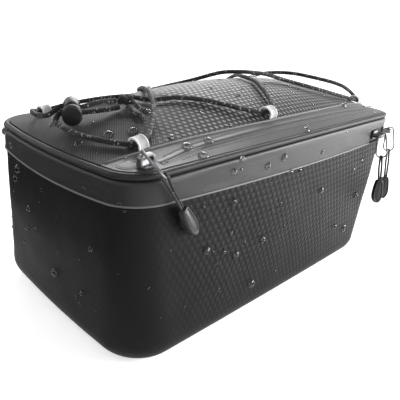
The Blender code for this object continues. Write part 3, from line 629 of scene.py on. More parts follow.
def outline(half_length, half_width, corner, end_bow, side_bow, shift):
    """Points round a rectangle with round corners and bowed sides, from the +X side's end."""
    flat_x = half_length - end_bow
    flat_y = half_width - side_bow
    corners = ((1, 1, 0), (-1, 1, 90), (-1, -1, 180), (1, -1, 270))
    points = []
    for index, (side_x, side_y, start) in enumerate(corners):
        for step in range(CORNER_STEPS + 1):
            angle = radians(start + 90 * step / CORNER_STEPS)
            points.append((side_x * (flat_x - corner) + corner * cos(angle),
                           side_y * (flat_y - corner) + corner * sin(angle)))
        next_x, next_y, next_start = corners[(index + 1) % 4]
        first = points[-1]
        last = (next_x * (flat_x - corner) + corner * cos(radians(next_start)),
                next_y * (flat_y - corner) + corner * sin(radians(next_start)))
        steps = SIDE_STEPS if index % 2 == 0 else END_STEPS
        for step in range(1, steps):
            points.append((mix(first[0], last[0], step / steps),
                           mix(first[1], last[1], step / steps)))
    return [(shift + x * (1 + end_bow / flat_x * (1 - (y / flat_y) ** 2)),
             y * (1 + side_bow / flat_y * (1 - (x / flat_x) ** 2))) for x, y in points]


def rim_height(x):
    """The top edge of the band, which tilts and droops along the bag."""
    share = x / (TOP_LENGTH / 2)
    return HEM_HEIGHT + BAND_HEIGHT + RIM_TILT * share - RIM_DROOP * share ** 2


def hem_height(x, y):
    """The band's lower edge, which hangs lower at the middle of each end."""
    along = x / (TOP_LENGTH / 2)
    across = y / (TOP_WIDTH / 2)
    return HEM_HEIGHT + HEM_RISE * along ** 2 - HEM_DROOP * (1 - across ** 2)


def zip_height(x, y):
    return hem_height(x, y) + ZIP_ABOVE_HEM


def top_outline(inset):
    """The band's plan, moved inwards."""
    return outline(TOP_LENGTH / 2 - inset, TOP_WIDTH / 2 - inset,
                   max(TOP_CORNER - inset, LEAST_CORNER), TOP_END_BOW, TOP_SIDE_BOW, 0.0)


def body_outline(share, inset):
    """The tub's plan from the base at share 0 to the hem at share 1, moved inwards."""
    return outline(mix(BASE_LENGTH, TOP_LENGTH, share) / 2 - inset,
                   mix(BASE_WIDTH, TOP_WIDTH, share) / 2 - inset,
                   max(mix(BASE_CORNER, TOP_CORNER, share) - inset, LEAST_CORNER),
                   mix(BASE_END_BOW, TOP_END_BOW, share),
                   mix(BASE_SIDE_BOW, TOP_SIDE_BOW, share),
                   mix(BASE_SHIFT, 0.0, share))


def ring(plan, height):
    """A closed row of points over a plan; height is a number or a function of x and y."""
    return [Vector((x, y, height(x, y) if callable(height) else height)) for x, y in plan]


def lid_height(x, y):
    """The lid's upper surface: a dome on the rim, dented where cords cross."""
    crown_x = CROWN_ALONG * TOP_LENGTH / 2
    end_x = LID_X - TOP_END_BOW * (y / LID_Y) ** 2
    side_y = LID_Y - TOP_SIDE_BOW * (x / LID_X) ** 2
    if x < crown_x:
        along = 1 - min((crown_x - x) / (crown_x + end_x), 1) ** LEFT_FALL
    else:
        along = 1 - min((x - crown_x) / (end_x - crown_x), 1) ** RIGHT_FALL
    across = 1 - min(abs(y) / side_y, 1) ** SIDE_FALL
    roll = 0.0
    if x > crown_x:
        share = (x - crown_x) / (end_x - crown_x)
        roll = END_ROLL * share ** 2 * (1 - min(share, 1) ** ROLL_POWER)
        roll *= 1 - min(abs(y) / side_y, 1) ** 4
    dent = 0.0
    for row in DENTS:
        away_x = x - row["along"] * TOP_LENGTH / 2
        away_y = y - row["across"] * TOP_WIDTH / 2
        distance = sqrt(away_x ** 2 + away_y ** 2) / row["radius"]
        dent += row["depth"] * max(1 - distance ** 2 / 2, 0) ** 2
    return rim_height(x) + PIPING + roll + LID_RISE * along * across - dent


def lid_frame(x, y):
    """A frame on the lid: its Z is the surface's normal, its X runs along the bag."""
    step = 0.0005
    along = Vector((2 * step, 0, lid_height(x + step, y) - lid_height(x - step, y))).normalized()
    across = Vector((0, 2 * step, lid_height(x, y + step) - lid_height(x, y - step)))
    normal = along.cross(across).normalized()
    across = normal.cross(along)
    made = Matrix((along, across, normal)).transposed().to_4x4()
    made.translation = (x, y, lid_height(x, y))
    return made


def seam_share(along):
    """How far out the top panel's seam lies, from the middle of the bag to its ends."""
    return SEAM_SHARE - SEAM_CURVE * along ** 2


def lid_point(along, across):
    """A point of the lid's plan, from shares of its half length and half width."""
    y = across * LID_FLAT_Y
    past = abs(y) - (LID_FLAT_Y - LID_CORNER)
    reach = LID_FLAT_X
    if past > 0:
        reach = LID_FLAT_X - LID_CORNER + sqrt(max(LID_CORNER ** 2 - past ** 2, 0))
    x = along * reach
    return (x * (1 + TOP_END_BOW / LID_FLAT_X * (1 - across ** 2)),
            y * (1 + TOP_SIDE_BOW / LID_FLAT_Y * (1 - (x / LID_FLAT_X) ** 2)))


def lid_side(x, side, share):
    """The lid's plan position across, at a place along it and a share of its half width."""
    y = side * share * LID_FLAT_Y
    return y * (1 + TOP_SIDE_BOW / LID_FLAT_Y * (1 - (x / LID_FLAT_X) ** 2))


def over_lid(place, diameter):
    """Where a cord's middle lies, given its plan point and its height over the lid."""
    x, y, lift = place
    lean = up_of(lid_frame(x, y))
    return Vector((x, y, lid_height(x, y) + (diameter / 2 + 2 * GAP) / lean.z + lift))


def on_plan(place):
    """A place over the lid in metres, from its shares of the lid and its lift in diameters."""
    along, across, lift = place
    return Vector((along * TOP_LENGTH / 2, across * TOP_WIDTH / 2, lift * CORD))


# ---------------------------------------------------------------- mesh building

def smooth_path(points, steps):
    """Points on a smooth curve through the given ones."""
    last = len(points) - 1
    path = []
    for index in range(last):
        before, start, end, after = (points[min(max(index + offset, 0), last)]
                                     for offset in (-1, 0, 1, 2))
        for step in range(steps):
            t = step / steps
            path.append(0.5 * (2 * start + (end - before) * t
                               + (2 * before - 5 * start + 4 * end - after) * t ** 2
                               + (3 * start - before - 3 * end + after) * t ** 3))
    path.append(points[last])
    return path


def uv_face(bm, uv, verts, places):
    """A face with a UV place at each of its corners."""
    for loop, place in zip(bm.faces.new(verts).loops, places):
        loop[uv].uv = place


def grid(rows, around=False, wrap=False, caps=False):
    """A bmesh of quads over rows of points, with UVs in metres along and down the rows."""
    bm = bmesh.new()
    uv = bm.loops.layers.uv.new("UVMap")
    verts = [[bm.verts.new(point) for point in row] for row in rows]
    count = len(rows[0])
    columns = count if around else count - 1
    middle = rows[len(rows) // 2]
    u = [0.0]
    for column in range(columns):
        u.append(u[-1] + (Vector(middle[(column + 1) % count]) - Vector(middle[column])).length)
    v = [0.0]
    pairs = list(zip(range(len(rows) - 1), range(1, len(rows))))
    if wrap:
        pairs.append((len(rows) - 1, 0))
    for low, high in pairs:
        spans = [(Vector(rows[high][column]) - Vector(rows[low][column])).length
                 for column in range(0, count, max(count // 8, 1))]
        v.append(v[-1] + sum(spans) / len(spans))
    for index, (low, high) in enumerate(pairs):
        for column in range(columns):
            after = (column + 1) % count
            uv_face(bm, uv, (verts[low][column], verts[low][after],
                             verts[high][after], verts[high][column]),
                    ((u[column], v[index]), (u[column + 1], v[index]),
                     (u[column + 1], v[index + 1]), (u[column], v[index + 1])))
    if caps:
        for row in (verts[0], verts[-1]):
            middle_vert = bm.verts.new(sum((vert.co for vert in row), Vector()) / len(row))
            for column in range(len(row)):
                corners = (row[column], row[(column + 1) % len(row)], middle_vert)
                uv_face(bm, uv, corners, [vert.co.xy for vert in corners])
    return bm


def piece(name, bm, material, nodes=(), angle=40):
    """Turns a bmesh into a finished piece that rides on a body and stands for CAD nodes."""
    bmesh.ops.recalc_face_normals(bm, faces=bm.faces)
    return piece_from_mesh(name, mesh_of(name, bm), material, nodes, BODY, angle)


def piece_from_mesh(name, mesh, material, nodes, body, angle):
    """A finished piece from a mesh; edges over the angle stay sharp."""
    mesh.name = name
    mesh.materials.clear()
    mesh.materials.append(material)
    mesh.shade_smooth()
    if angle < 180:
        mesh.set_sharp_from_angle(angle=radians(angle))
    made = placed(name, mesh)
    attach(made, body)
    if nodes:
        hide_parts(*nodes)
    return made


def tube(path, radius, sides=12, closed=False, swell=None):
    """A bmesh tube along a path. U runs along it in metres and V once round it."""
    count = len(path)
    tangents = []
    for index in range(count):
        if closed:
            run = path[(index + 1) % count] - path[index - 1]
        else:
            run = path[min(index + 1, count - 1)] - path[max(index - 1, 0)]
        tangents.append(run.normalized())
    normal = tangents[0].orthogonal().normalized()
    normals = [normal]
    for index in range(1, count):
        normal = normals[-1] - normals[-1].dot(tangents[index]) * tangents[index]
        normals.append(normal.normalized())
    twist = 0.0
    if closed:
        back = normals[-1] - normals[-1].dot(tangents[0]) * tangents[0]
        twist = atan2(back.cross(normals[0]).dot(tangents[0]), back.dot(normals[0]))
    bm = bmesh.new()
    uv = bm.loops.layers.uv.new("UVMap")
    rows = []
    lengths = [0.0]
    for index in range(count):
        binormal = tangents[index].cross(normals[index])
        size = radius * (swell(index / (count - 1)) if swell else 1.0)
        row = []
        for side in range(sides):
            angle = tau * side / sides + twist * index / count
            row.append(bm.verts.new(path[index] + size * (cos(angle) * normals[index]
                                                          + sin(angle) * binormal)))
        rows.append(row)
        if index:
            lengths.append(lengths[-1] + (path[index] - path[index - 1]).length)
    if closed:
        lengths.append(lengths[-1] + (path[0] - path[-1]).length)
    for index in range(count if closed else count - 1):
        low, high = rows[index], rows[(index + 1) % count]
        for side in range(sides):
            after = (side + 1) % sides
            start, end = lengths[index:index + 2]
            uv_face(bm, uv, (low[side], low[after], high[after], high[side]),
                    ((start, side / sides), (start, (side + 1) / sides),
                     (end, (side + 1) / sides), (end, side / sides)))
    if not closed:
        for row, end in ((rows[0], path[0]), (rows[-1], path[-1])):
            middle = bm.verts.new(end)
            for side in range(sides):
                bm.faces.new((row[side], row[(side + 1) % sides], middle))
    return bm


def ripple(bm, height, reach, keep, seed=0.0):
    """Moves a bmesh's vertices along their normals in soft waves, by a share for each."""
    bm.normal_update()
    offset = Vector((seed, seed * 1.7, -seed))
    for vert in bm.verts:
        share = keep(vert)
        if share:
            slow = noise.noise(vert.co / reach + offset)
            quick = noise.noise(vert.co / (reach * 0.35) - offset)
            vert.co += vert.normal * height * share * (slow + 0.35 * quick)


def refined(name, material, node, width, body=BODY):
    """A CAD node's own shape, merged, with its edges rounded."""
    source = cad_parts[node]
    bm = bmesh.new()
    bm.from_mesh(source.data)
    bmesh.ops.remove_doubles(bm, verts=bm.verts, dist=0.00001)
    bmesh.ops.dissolve_limit(bm, angle_limit=radians(4), verts=bm.verts, edges=bm.edges)
    bmesh.ops.transform(bm, matrix=source.matrix_world, verts=bm.verts)
    for layer in list(bm.loops.layers.uv):
        bm.loops.layers.uv.remove(layer)
    made = piece_from_mesh(name, mesh_of(name, bm), material, (), body, 180)
    bevel = made.modifiers.new("rounded edges", "BEVEL")
    bevel.width = width
    bevel.segments = 2
    bevel.limit_method = "ANGLE"
    bevel.angle_limit = radians(28)
    bevel.use_clamp_overlap = True
    applied(made)
    made.data.set_sharp_from_angle(angle=radians(50))
    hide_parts(node)
    return made


def applied(made):
    """Turns an object's modifiers into its plain mesh."""
    depsgraph = bpy.context.evaluated_depsgraph_get()
    mesh = bpy.data.meshes.new_from_object(made.evaluated_get(depsgraph))
    old = made.data
    made.modifiers.clear()
    made.data = mesh
    mesh.name = old.name
    if old.users == 0:
        bpy.data.meshes.remove(old)
    return made


# ---------------------------------------------------------------- repeats along a path

def repeats_tree(name):
    """A tree that sets small rounded beads along a path of points with normals."""
    tree = bpy.data.node_groups.new(name, "GeometryNodeTree")
    for key, kind in (("Path", "Geometry"), ("Pitch", "Float"), ("Length", "Float"),
                      ("Width", "Float"), ("Height", "Float"), ("Jitter", "Float"),
                      ("Seed", "Int"), ("Material", "Material")):
        tree.interface.new_socket(key, in_out="INPUT", socket_type="NodeSocket" + kind)
    tree.interface.new_socket("Beads", in_out="OUTPUT", socket_type="NodeSocketGeometry")

    def add(kind, inputs, output=0, **settings):
        """One output of a new node, its settings made and its sockets set or linked."""
        made = tree.nodes.new(kind)
        for key, value in settings.items():
            setattr(made, key, value)
        for key, value in inputs.items():
            if isinstance(value, bpy.types.NodeSocket):
                tree.links.new(value, made.inputs[key])
            else:
                made.inputs[key].default_value = value
        return made.outputs[output] if made.outputs else None

    start = tree.nodes.new("NodeGroupInput").outputs
    curve = add("GeometryNodeMeshToCurve", {0: start["Path"]})
    even = add("GeometryNodeResampleCurve", {"Curve": curve, "Length": start["Pitch"]},
               mode="LENGTH")
    normal = add("GeometryNodeInputNamedAttribute", {"Name": "up"}, data_type="FLOAT_VECTOR")
    turn = add("FunctionNodeAxesToRotation",
               {"Primary Axis": normal,
                "Secondary Axis": add("GeometryNodeInputTangent", {})},
               primary_axis="Z", secondary_axis="X")
    least = add("ShaderNodeMath", {0: start["Jitter"], 1: -1.0}, operation="MULTIPLY")
    loose = add("FunctionNodeRandomValue",
                {2: least, 3: start["Jitter"], "Seed": start["Seed"]}, 1, data_type="FLOAT")
    spin = add("FunctionNodeAxisAngleToRotation", {"Axis": (0, 0, 1), "Angle": loose})
    both = add("FunctionNodeRotateRotation", {0: turn, 1: spin}, rotation_space="LOCAL")
    bead = add("GeometryNodeMeshUVSphere", {"Segments": 8, "Rings": 4, "Radius": 0.5})
    size = add("ShaderNodeCombineXYZ",
               {0: start["Length"], 1: start["Width"], 2: start["Height"]})
    spread = add("GeometryNodeInstanceOnPoints",
                 {"Points": even, "Instance": bead, "Rotation": both, "Scale": size})
    real = add("GeometryNodeRealizeInstances", {0: spread})
    paint = add("GeometryNodeSetMaterial", {"Geometry": real, "Material": start["Material"]})
    add("NodeGroupOutput", {0: paint})
    return tree


def beads(name, paths, material, slot, **sizes):
    """A piece of beads, such as stitches or zip ribs, along paths of (place, normal)."""
    tree = finish(repeats_tree, "beads_along_path")
    bm = bmesh.new()
    layer = bm.verts.layers.float_vector.new("up")
    for path in paths:
        before = None
        for place, up in path:
            vert = bm.verts.new(place)
            vert[layer] = up
            if before:
                bm.edges.new((before, vert))
            before = vert
    guide = placed(name + "_guide", mesh_of(name, bm))
    change = guide.modifiers.new("beads", "NODES")
    change.node_group = tree
    for item in tree.interface.items_tree:
        if item.in_out == "INPUT" and item.name in sizes:
            change[item.identifier] = sizes[item.name]
        if item.name == "Material":
            change[item.identifier] = material
    depsgraph = bpy.context.evaluated_depsgraph_get()
    made = bpy.data.meshes.new_from_object(guide.evaluated_get(depsgraph))
    guide.modifiers.clear()
    bpy.data.objects.remove(guide)
    return piece_from_mesh(name, made, material, (), BODY, 180)


def lid_path(share_at, start, end, steps, lift=0.0):
    """Places and normals along the lid's near half, at a share of its width."""
    path = []
    for step in range(steps + 1):
        along = mix(start, end, step / steps)
        x, y = lid_point(along, -share_at(along))
        up = up_of(lid_frame(x, y))
        path.append((Vector((x, y, lid_height(x, y))) + up * lift, up))
    return path


# ---------------------------------------------------------------- cloth pieces

def tub_bmesh(settings):
    """The open tub with soft waves in its walls."""
    neck_inset = BAND_WALL + GAP
    inner_inset = neck_inset + NECK_WALL
    inner_round = max(BASE_ROUND - inner_inset + BAND_STAND, 0.004)
    rows = []
    for step in range(11):
        angle = radians(9 * step)
        rows.append(ring(body_outline(0, BAND_STAND + BASE_ROUND * (1 - sin(angle))),
                         BASE_ROUND * (1 - cos(angle))))
    neck = lambda x, y: hem_height(x, y) - GAP
    top = lambda x, y: zip_height(x, y) - TAPE_WIDTH / 2 - GAP
    for step in range(1, 31):
        share = step / 30
        rows.append(ring(body_outline(share, BAND_STAND),
                         lambda x, y, s=share: mix(BASE_ROUND, neck(x, y), s)))
    outer_rows = len(rows)
    rows.append(ring(top_outline(neck_inset), neck))
    rows.append(ring(top_outline(neck_inset), top))
    rows.append(ring(top_outline(inner_inset), top))
    for step in range(10, 0, -1):
        share = step / 10
        rows.append(ring(body_outline(share, inner_inset),
                         lambda x, y, s=share: mix(BASE_ROUND, neck(x, y), s)))
    for step in range(6):
        angle = radians(18 * step)
        rows.append(ring(body_outline(0, inner_inset + inner_round * (1 - cos(angle))),
                         mix(BASE_ROUND, FLOOR, sin(angle))))
    bm = grid(rows, around=True, caps=True)
    bm.verts.ensure_lookup_table()
    count = len(rows[0])
    outer = set(range(outer_rows * count))

    def keep(vert):
        if vert.index not in outer:
            return 0.0
        return ease(0.004, 0.035, vert.co.z) * (1 - ease(0.090, 0.115, vert.co.z))

    bm.verts.index_update()
    ripple(bm, settings.cloth_wave, 0.060, keep, 3.1)
    return bm


def notch_cutter():
    """The space that the band leaves open round the near right-hand corner."""
    low = HEM_HEIGHT - HEM_DROOP - 0.004
    corner_x = TOP_LENGTH / 2
    corner_y = -TOP_WIDTH / 2
    start_x = NOTCH_START * corner_x
    near_y = corner_y + TOP_CORNER + NOTCH_PAST_CORNER
    plan = [(x, y) for x, y in top_outline(BAND_WALL + GAP) if x > start_x and y < near_y]
    plan.sort(key=lambda point: atan2(point[1] - near_y, point[0] - start_x))
    reach = 0.02
    shape = [(start_x, plan[0][1]), *plan, (plan[-1][0], near_y),
             (corner_x + reach, near_y), (corner_x + reach, corner_y - reach),
             (start_x, corner_y - reach)]
    high = lambda x, y: hem_height(min(max(x, start_x), corner_x),
                                   min(max(y, corner_y), near_y)) + NOTCH_RISE
    bm = bmesh.new()
    rows = [[bm.verts.new(point) for point in ring(shape, level)] for level in (low, high)]
    for index in range(len(shape)):
        after = (index + 1) % len(shape)
        bm.faces.new((rows[0][index], rows[0][after], rows[1][after], rows[1][index]))
    bm.faces.new(list(reversed(rows[0])))
    bm.faces.new(rows[1])
    bmesh.ops.recalc_face_normals(bm, faces=bm.faces)
    return placed("notch_cutter", mesh_of("notch_cutter", bm))


def band_bmesh(settings):
    """The lid's side band: a skirt with a rounded lower edge and a flange under the lid."""
    top = lambda x, y: rim_height(x) - GAP
    under = lambda x, y: rim_height(x) - GAP - FLANGE_THICK
    rows = [ring(top_outline(0.0022), top)]
    for step in range(4):
        angle = radians(30 * step)
        rows.append(ring(top_outline(0.0018 * (1 - sin(angle))),
                         lambda x, y, a=angle: top(x, y) - 0.0020 * (1 - cos(a))))
    for step in range(1, 13):
        share = step / 12
        rows.append(ring(top_outline(0), lambda x, y, s=share: mix(
            top(x, y) - 0.0020, hem_height(x, y) + 0.0006, s)))
    rows.append(ring(top_outline(0.0005), hem_height))
    rows.append(ring(top_outline(BAND_WALL), hem_height))
    rows.append(ring(top_outline(BAND_WALL), under))
    rows.append(ring(top_outline(FLANGE_WIDTH), under))
    rows.append(ring(top_outline(FLANGE_WIDTH), top))
    bm = grid(rows, around=True, wrap=True)
    count = len(rows[0])
    bm.verts.index_update()
    skirt = set(range(5 * count, 16 * count))

    def keep(vert):
        if vert.index not in skirt:
            return 0.0
        fall = (vert.co.z - hem_height(vert.co.x, vert.co.y)) / BAND_HEIGHT
        return ease(0.05, 0.3, fall) * (1 - ease(0.7, 0.95, fall))

    ripple(bm, settings.cloth_wave * 0.55, 0.045, keep, 7.7)
    return bm


def edge_strip(height, rise, proud):
    """A thin closed strip round the band: a height function, how tall and how proud it is."""
    rows = []
    for step in range(10):
        angle = tau * step / 10
        rows.append(ring(top_outline(-proud * sin(angle)),
                         lambda x, y, a=angle: height(x, y) + rise / 2 * cos(a)))
    return grid(rows, around=True, wrap=True)


def lid_rows(low_edge, high_edge, shares, drop=0.0):
    """Rows of points over the lid between two edges, each given as a share of its width."""
    rows = []
    for share in shares:
        row = []
        for column in range(LID_COLUMNS + 1):
            along = mix(-1, 1, column / LID_COLUMNS)
            along = mix(along, sin(along * pi / 2), 0.5)
            x, y = lid_point(along, mix(low_edge(along), high_edge(along), share))
            row.append(Vector((x, y, lid_height(x, y) - drop)))
        rows.append(row)
    return rows


def lid_skin(low_edge, high_edge, shares, wall):
    """A panel of the domed lid: its upper and lower skins and the edge between them."""
    upper = lid_rows(low_edge, high_edge, shares)
    lower = lid_rows(low_edge, high_edge, shares, wall)
    bm = grid(upper)
    uv = bm.loops.layers.uv.active
    bm.verts.ensure_lookup_table()
    count = LID_COLUMNS + 1
    last = len(shares) - 1
    top = [[bm.verts[row * count + column] for column in range(count)] for row in range(last + 1)]
    bottom = [[bm.verts.new(point) for point in row] for row in lower]

    def close(*verts):
        uv_face(bm, uv, verts, [vert.co.xy for vert in verts])

    for row in range(last):
        for column in range(LID_COLUMNS):
            close(bottom[row][column], bottom[row + 1][column],
                  bottom[row + 1][column + 1], bottom[row][column + 1])
        for column in (0, LID_COLUMNS):
            close(top[row][column], top[row + 1][column], bottom[row + 1][column],
                  bottom[row][column])
    for column in range(LID_COLUMNS):
        for row in (0, last):
            close(top[row][column], top[row][column + 1], bottom[row][column + 1],
                  bottom[row][column])
    return bm


def corner_shares(edge, inner, steps):
    """Shares that put rows on the corner's arc, from the lid's edge in to an inner line."""
    return [(edge - 1 + LID_CORNER / LID_FLAT_Y * (1 - sin(radians(90 - 90 * step / steps))))
            / (edge - inner) for step in range(steps + 1)]


def top_panel_bmesh(settings):
    """The lid's padded top panel, softly dimpled beside its seams and cords."""
    half_gap = GAP * 0.6 / LID_FLAT_Y
    inner = 1 - LID_CORNER / LID_FLAT_Y
    start = -seam_share(1.0)
    corner_start = (inner - start) / (1 - start)
    shares = [corner_start * row / 54 for row in range(54)]
    shares += [1 - share * (1 - corner_start) for share in reversed(corner_shares(1.0, inner, 10))]
    bm = lid_skin(lambda along: -seam_share(along) + half_gap, lambda along: 1.0, shares, LID_WALL)

    def keep(vert):
        edge = min(abs(abs(vert.co.x) - TOP_LENGTH / 2), abs(vert.co.y - TOP_WIDTH / 2),
                   abs(vert.co.y + SEAM_SHARE * TOP_WIDTH / 2))
        above = lid_height(vert.co.x, vert.co.y) - vert.co.z
        return ease(0.006, 0.030, edge) if above < 0.001 else 0.0

    ripple(bm, settings.lid_wave, 0.050, keep, 1.3)
    return bm


def strip_bmesh():
    """The near strip of the lid, which carries the pocket zip."""
    half_gap = GAP * 0.6 / LID_FLAT_Y
    shares = corner_shares(1.0, seam_share(1.0), 10)
    shares += [mix(shares[-1], 1.0, step / 6) for step in range(1, 7)]
    return lid_skin(lambda along: -1.0, lambda along: -seam_share(along) - half_gap,
                    shares, STRIP_WALL)


def zip_share(along):
    """Where the pocket zip runs across the lid; it bends to its slider at the left."""
    return 0.872 + 0.058 * (1 - ease(-0.92, -0.62, along))


def pocket_zip_bmesh():
    """The pocket zip's two coated tapes, meeting in a slit over the coil."""
    profile = ((-1.0, -0.0002), (-0.94, 0.00012), (-0.45, 0.00028), (-0.12, 0.00036),
               (-0.03, 0.00012), (0.03, 0.00012), (0.12, 0.00036), (0.45, 0.00028),
               (0.94, 0.00012), (1.0, -0.0002))
    half = 0.0036
    centre = lid_path(zip_share, -0.868, 0.93, 220)
    bm = bmesh.new()
    uv = bm.loops.layers.uv.new("UVMap")
    rows = []
    runs = [0.0]
    for index, (place, up) in enumerate(centre):
        after = centre[min(index + 1, len(centre) - 1)][0]
        before = centre[max(index - 1, 0)][0]
        side = up.cross(after - before).normalized()
        row = []
        for out, lift in profile:
            x, y = (place + side * half * out).xy
            row.append(bm.verts.new((x, y, lid_height(x, y) + lift)))
        rows.append(row)
        if index:
            runs.append(runs[-1] + (place - centre[index - 1][0]).length)
    for index in range(len(rows) - 1):
        for column in range(len(profile) - 1):
            low, high = ((profile[edge][0] + 1) / 2 for edge in (column, column + 1))
            uv_face(bm, uv, (rows[index][column], rows[index][column + 1],
                             rows[index + 1][column + 1], rows[index + 1][column]),
                    ((runs[index], low), (runs[index], high),
                     (runs[index + 1], high), (runs[index + 1], low)))
    bottom = [(row[0], row[-1]) for row in rows]
    for (left, right), (next_left, next_right) in zip(bottom, bottom[1:]):
        bm.faces.new((left, right, next_right, next_left))
    for row in (rows[0], rows[-1]):
        bm.faces.new(row)
    return bm


def loop_bmesh(row):
    """A folded strap that arches over the cord, with thicker woven edges."""
    x = row["along"] * TOP_LENGTH / 2
    share = FAR_LOOP_SHARE if row["side"] > 0 else seam_share(x / LID_FLAT_X)
    outer_y = lid_side(x, row["side"], share)
    place = lid_frame(x, outer_y - row["side"] * (LOOP_SPAN / 2 + GAP))
    steps = 32
    section = ((-1.0, 0.0), (-0.97, 1.0), (-0.80, 1.0), (-0.74, 0.86), (0.74, 0.86),
               (0.80, 1.0), (0.97, 1.0), (1.0, 0.0))
    bm = bmesh.new()
    uv = bm.loops.layers.uv.new("UVMap")
    rows = []
    runs = [0.0]
    for step in range(steps + 1):
        angle = pi * step / steps
        rise = sin(angle) ** 0.7
        outer = Vector((0, LOOP_SPAN / 2 * cos(angle),
                        LOOP_STAND + (LOOP_INSIDE + LOOP_THICK) * rise))
        inner = Vector((0, (LOOP_SPAN / 2 - LOOP_THICK) * cos(angle),
                        LOOP_STAND + LOOP_INSIDE * rise))
        points = [Vector((half * LOOP_WIDTH / 2, 0, 0)) + inner.lerp(outer, thick)
                  for half, thick in section]
        points += [Vector((half * LOOP_WIDTH / 2, 0, 0)) + inner for half in (0.5, -0.5)]
        rows.append([bm.verts.new(place @ point) for point in points])
        if step:
            runs.append(runs[-1] + LOOP_SPAN * pi / 2 / steps)
    count = len(rows[0])
    wide = [(half + 1) / 2 for half, _ in section] + [0.75, 0.25]
    for index, (low, high) in enumerate(zip(rows, rows[1:])):
        for column in range(count):
            after = (column + 1) % count
            uv_face(bm, uv, (low[column], low[after], high[after], high[column]),
                    ((runs[index], wide[column]), (runs[index], wide[after]),
                     (runs[index + 1], wide[after]), (runs[index + 1], wide[column])))
    bm.faces.new(list(reversed(rows[0])))
    bm.faces.new(rows[-1])
    return bm, place


# ---------------------------------------------------------------- cord and hardware shapes

def lock_frame():
    """The cord lock's frame: X along the cords, Y from the button towards the barrel's end."""
    place = over_lid(on_plan((LOCK_ALONG, LOCK_ACROSS, LOCK_LIFT)), CORD)
    return (Matrix.Translation(place) @ Matrix.Rotation(LOCK_TURN, 4, "Z")
            @ Matrix.Rotation(LOCK_TILT, 4, "X"))


def lock_pass(height, start):
    """The cord's places through the lock, from one side of it to the other."""
    places = []
    for along in (start, start / 2, 0.0, -start / 2, -start):
        point = lock_frame() @ Vector((along, 0, height))
        lying = over_lid((point.x, point.y, 0.0), CORD)
        places.append(Vector((point.x, point.y, point.z - lying.z)))
    return places


def cord_path(route, steps):
    """A smooth path over the lid through a route's points."""
    return [over_lid(place, CORD) for place in smooth_path(route, steps)]


def bungee_path():
    route = [*map(on_plan, KNOT_TO_LOCK), *lock_pass(STRAND_HEIGHT, STRAND_REACH),
             *map(on_plan, LACING), *lock_pass(-STRAND_HEIGHT, -STRAND_REACH),
             *map(on_plan, LOCK_TO_KNOT)]
    return cord_path(route, 8)


def knot_path(centre, size):
    """An overhand knot drawn tight, as a closed three-lobed line."""
    path = []
    for step in range(132):
        t = tau * step / 132
        place = Vector((sin(t) + 2 * sin(2 * t), cos(t) - 2 * cos(2 * t), -1.25 * sin(3 * t)))
        place.rotate(Matrix.Rotation(radians(24), 3, "Z"))
        path.append(centre + Vector((place.x * size, place.y * size * 1.05, place.z * size)))
    return path


def upright_frame(place, along):
    up = Vector((0, 0, 1))
    made = Matrix((along, up, along.cross(up))).transposed().to_4x4()
    made.translation = place
    return made


def flat_sizes(inset):
    """The half length and half width of the band's plan, moved inwards, without its bows."""
    return TOP_LENGTH / 2 - inset - TOP_END_BOW, TOP_WIDTH / 2 - inset - TOP_SIDE_BOW


def near_side_frame(x, inset):
    """A frame on the main zip's near side, at a place along the bag."""
    flat_x, flat_y = flat_sizes(inset)
    along = Vector((1, 2 * TOP_SIDE_BOW * x / flat_x ** 2, 0)).normalized()
    y = -flat_y - TOP_SIDE_BOW * (1 - (x / flat_x) ** 2)
    return upright_frame(Vector((x, y, zip_height(x, y))), along)


def corner_frame(angle, inset):
    """A frame on the main zip's near right-hand corner, at an angle round it."""
    flat_x, flat_y = flat_sizes(inset)
    corner = TOP_CORNER - inset
    x = flat_x - corner + corner * sin(angle)
    y = -(flat_y - corner + corner * cos(angle))
    bowed_x = x * (1 + TOP_END_BOW / flat_x * (1 - (y / flat_y) ** 2))
    bowed_y = y * (1 + TOP_SIDE_BOW / flat_y * (1 - (x / flat_x) ** 2))
    place = Vector((bowed_x, bowed_y, zip_height(bowed_x, bowed_y)))
    return upright_frame(place, Vector((cos(angle), sin(angle), 0)))


def slider_frames():
    """Each slider's frame: X along the zip, Z away from the zip, origin on the zip."""
    crest = BAND_WALL + GAP
    pocket_x = POCKET_SLIDER_ALONG * TOP_LENGTH / 2
    return {
        "pocket_slider": lid_frame(pocket_x, lid_side(pocket_x, 1, POCKET_SLIDER_SHARE)),
        "main_slider_a": near_side_frame(MAIN_SLIDER_ALONG * TOP_LENGTH / 2, crest),
        "main_slider_b": corner_frame(CORNER_SLIDER_ANGLE, crest),
    }


def tab_place(row):
    """The top of a tab: outside the wall by its clearance, wherever the wall stands out most."""
    x = row["along"] * TOP_LENGTH / 2
    z = HEM_HEIGHT - row["below_hem"]
    lower = Vector(row["tab_way"]).normalized().z * TAB_LENGTH
    widest = max(mix(BASE_WIDTH, TOP_WIDTH, min(max(height / HEM_HEIGHT, 0), 1)) / 2
                 for height in (z, z + lower))
    return Vector((x, -widest - row["clear"], z))


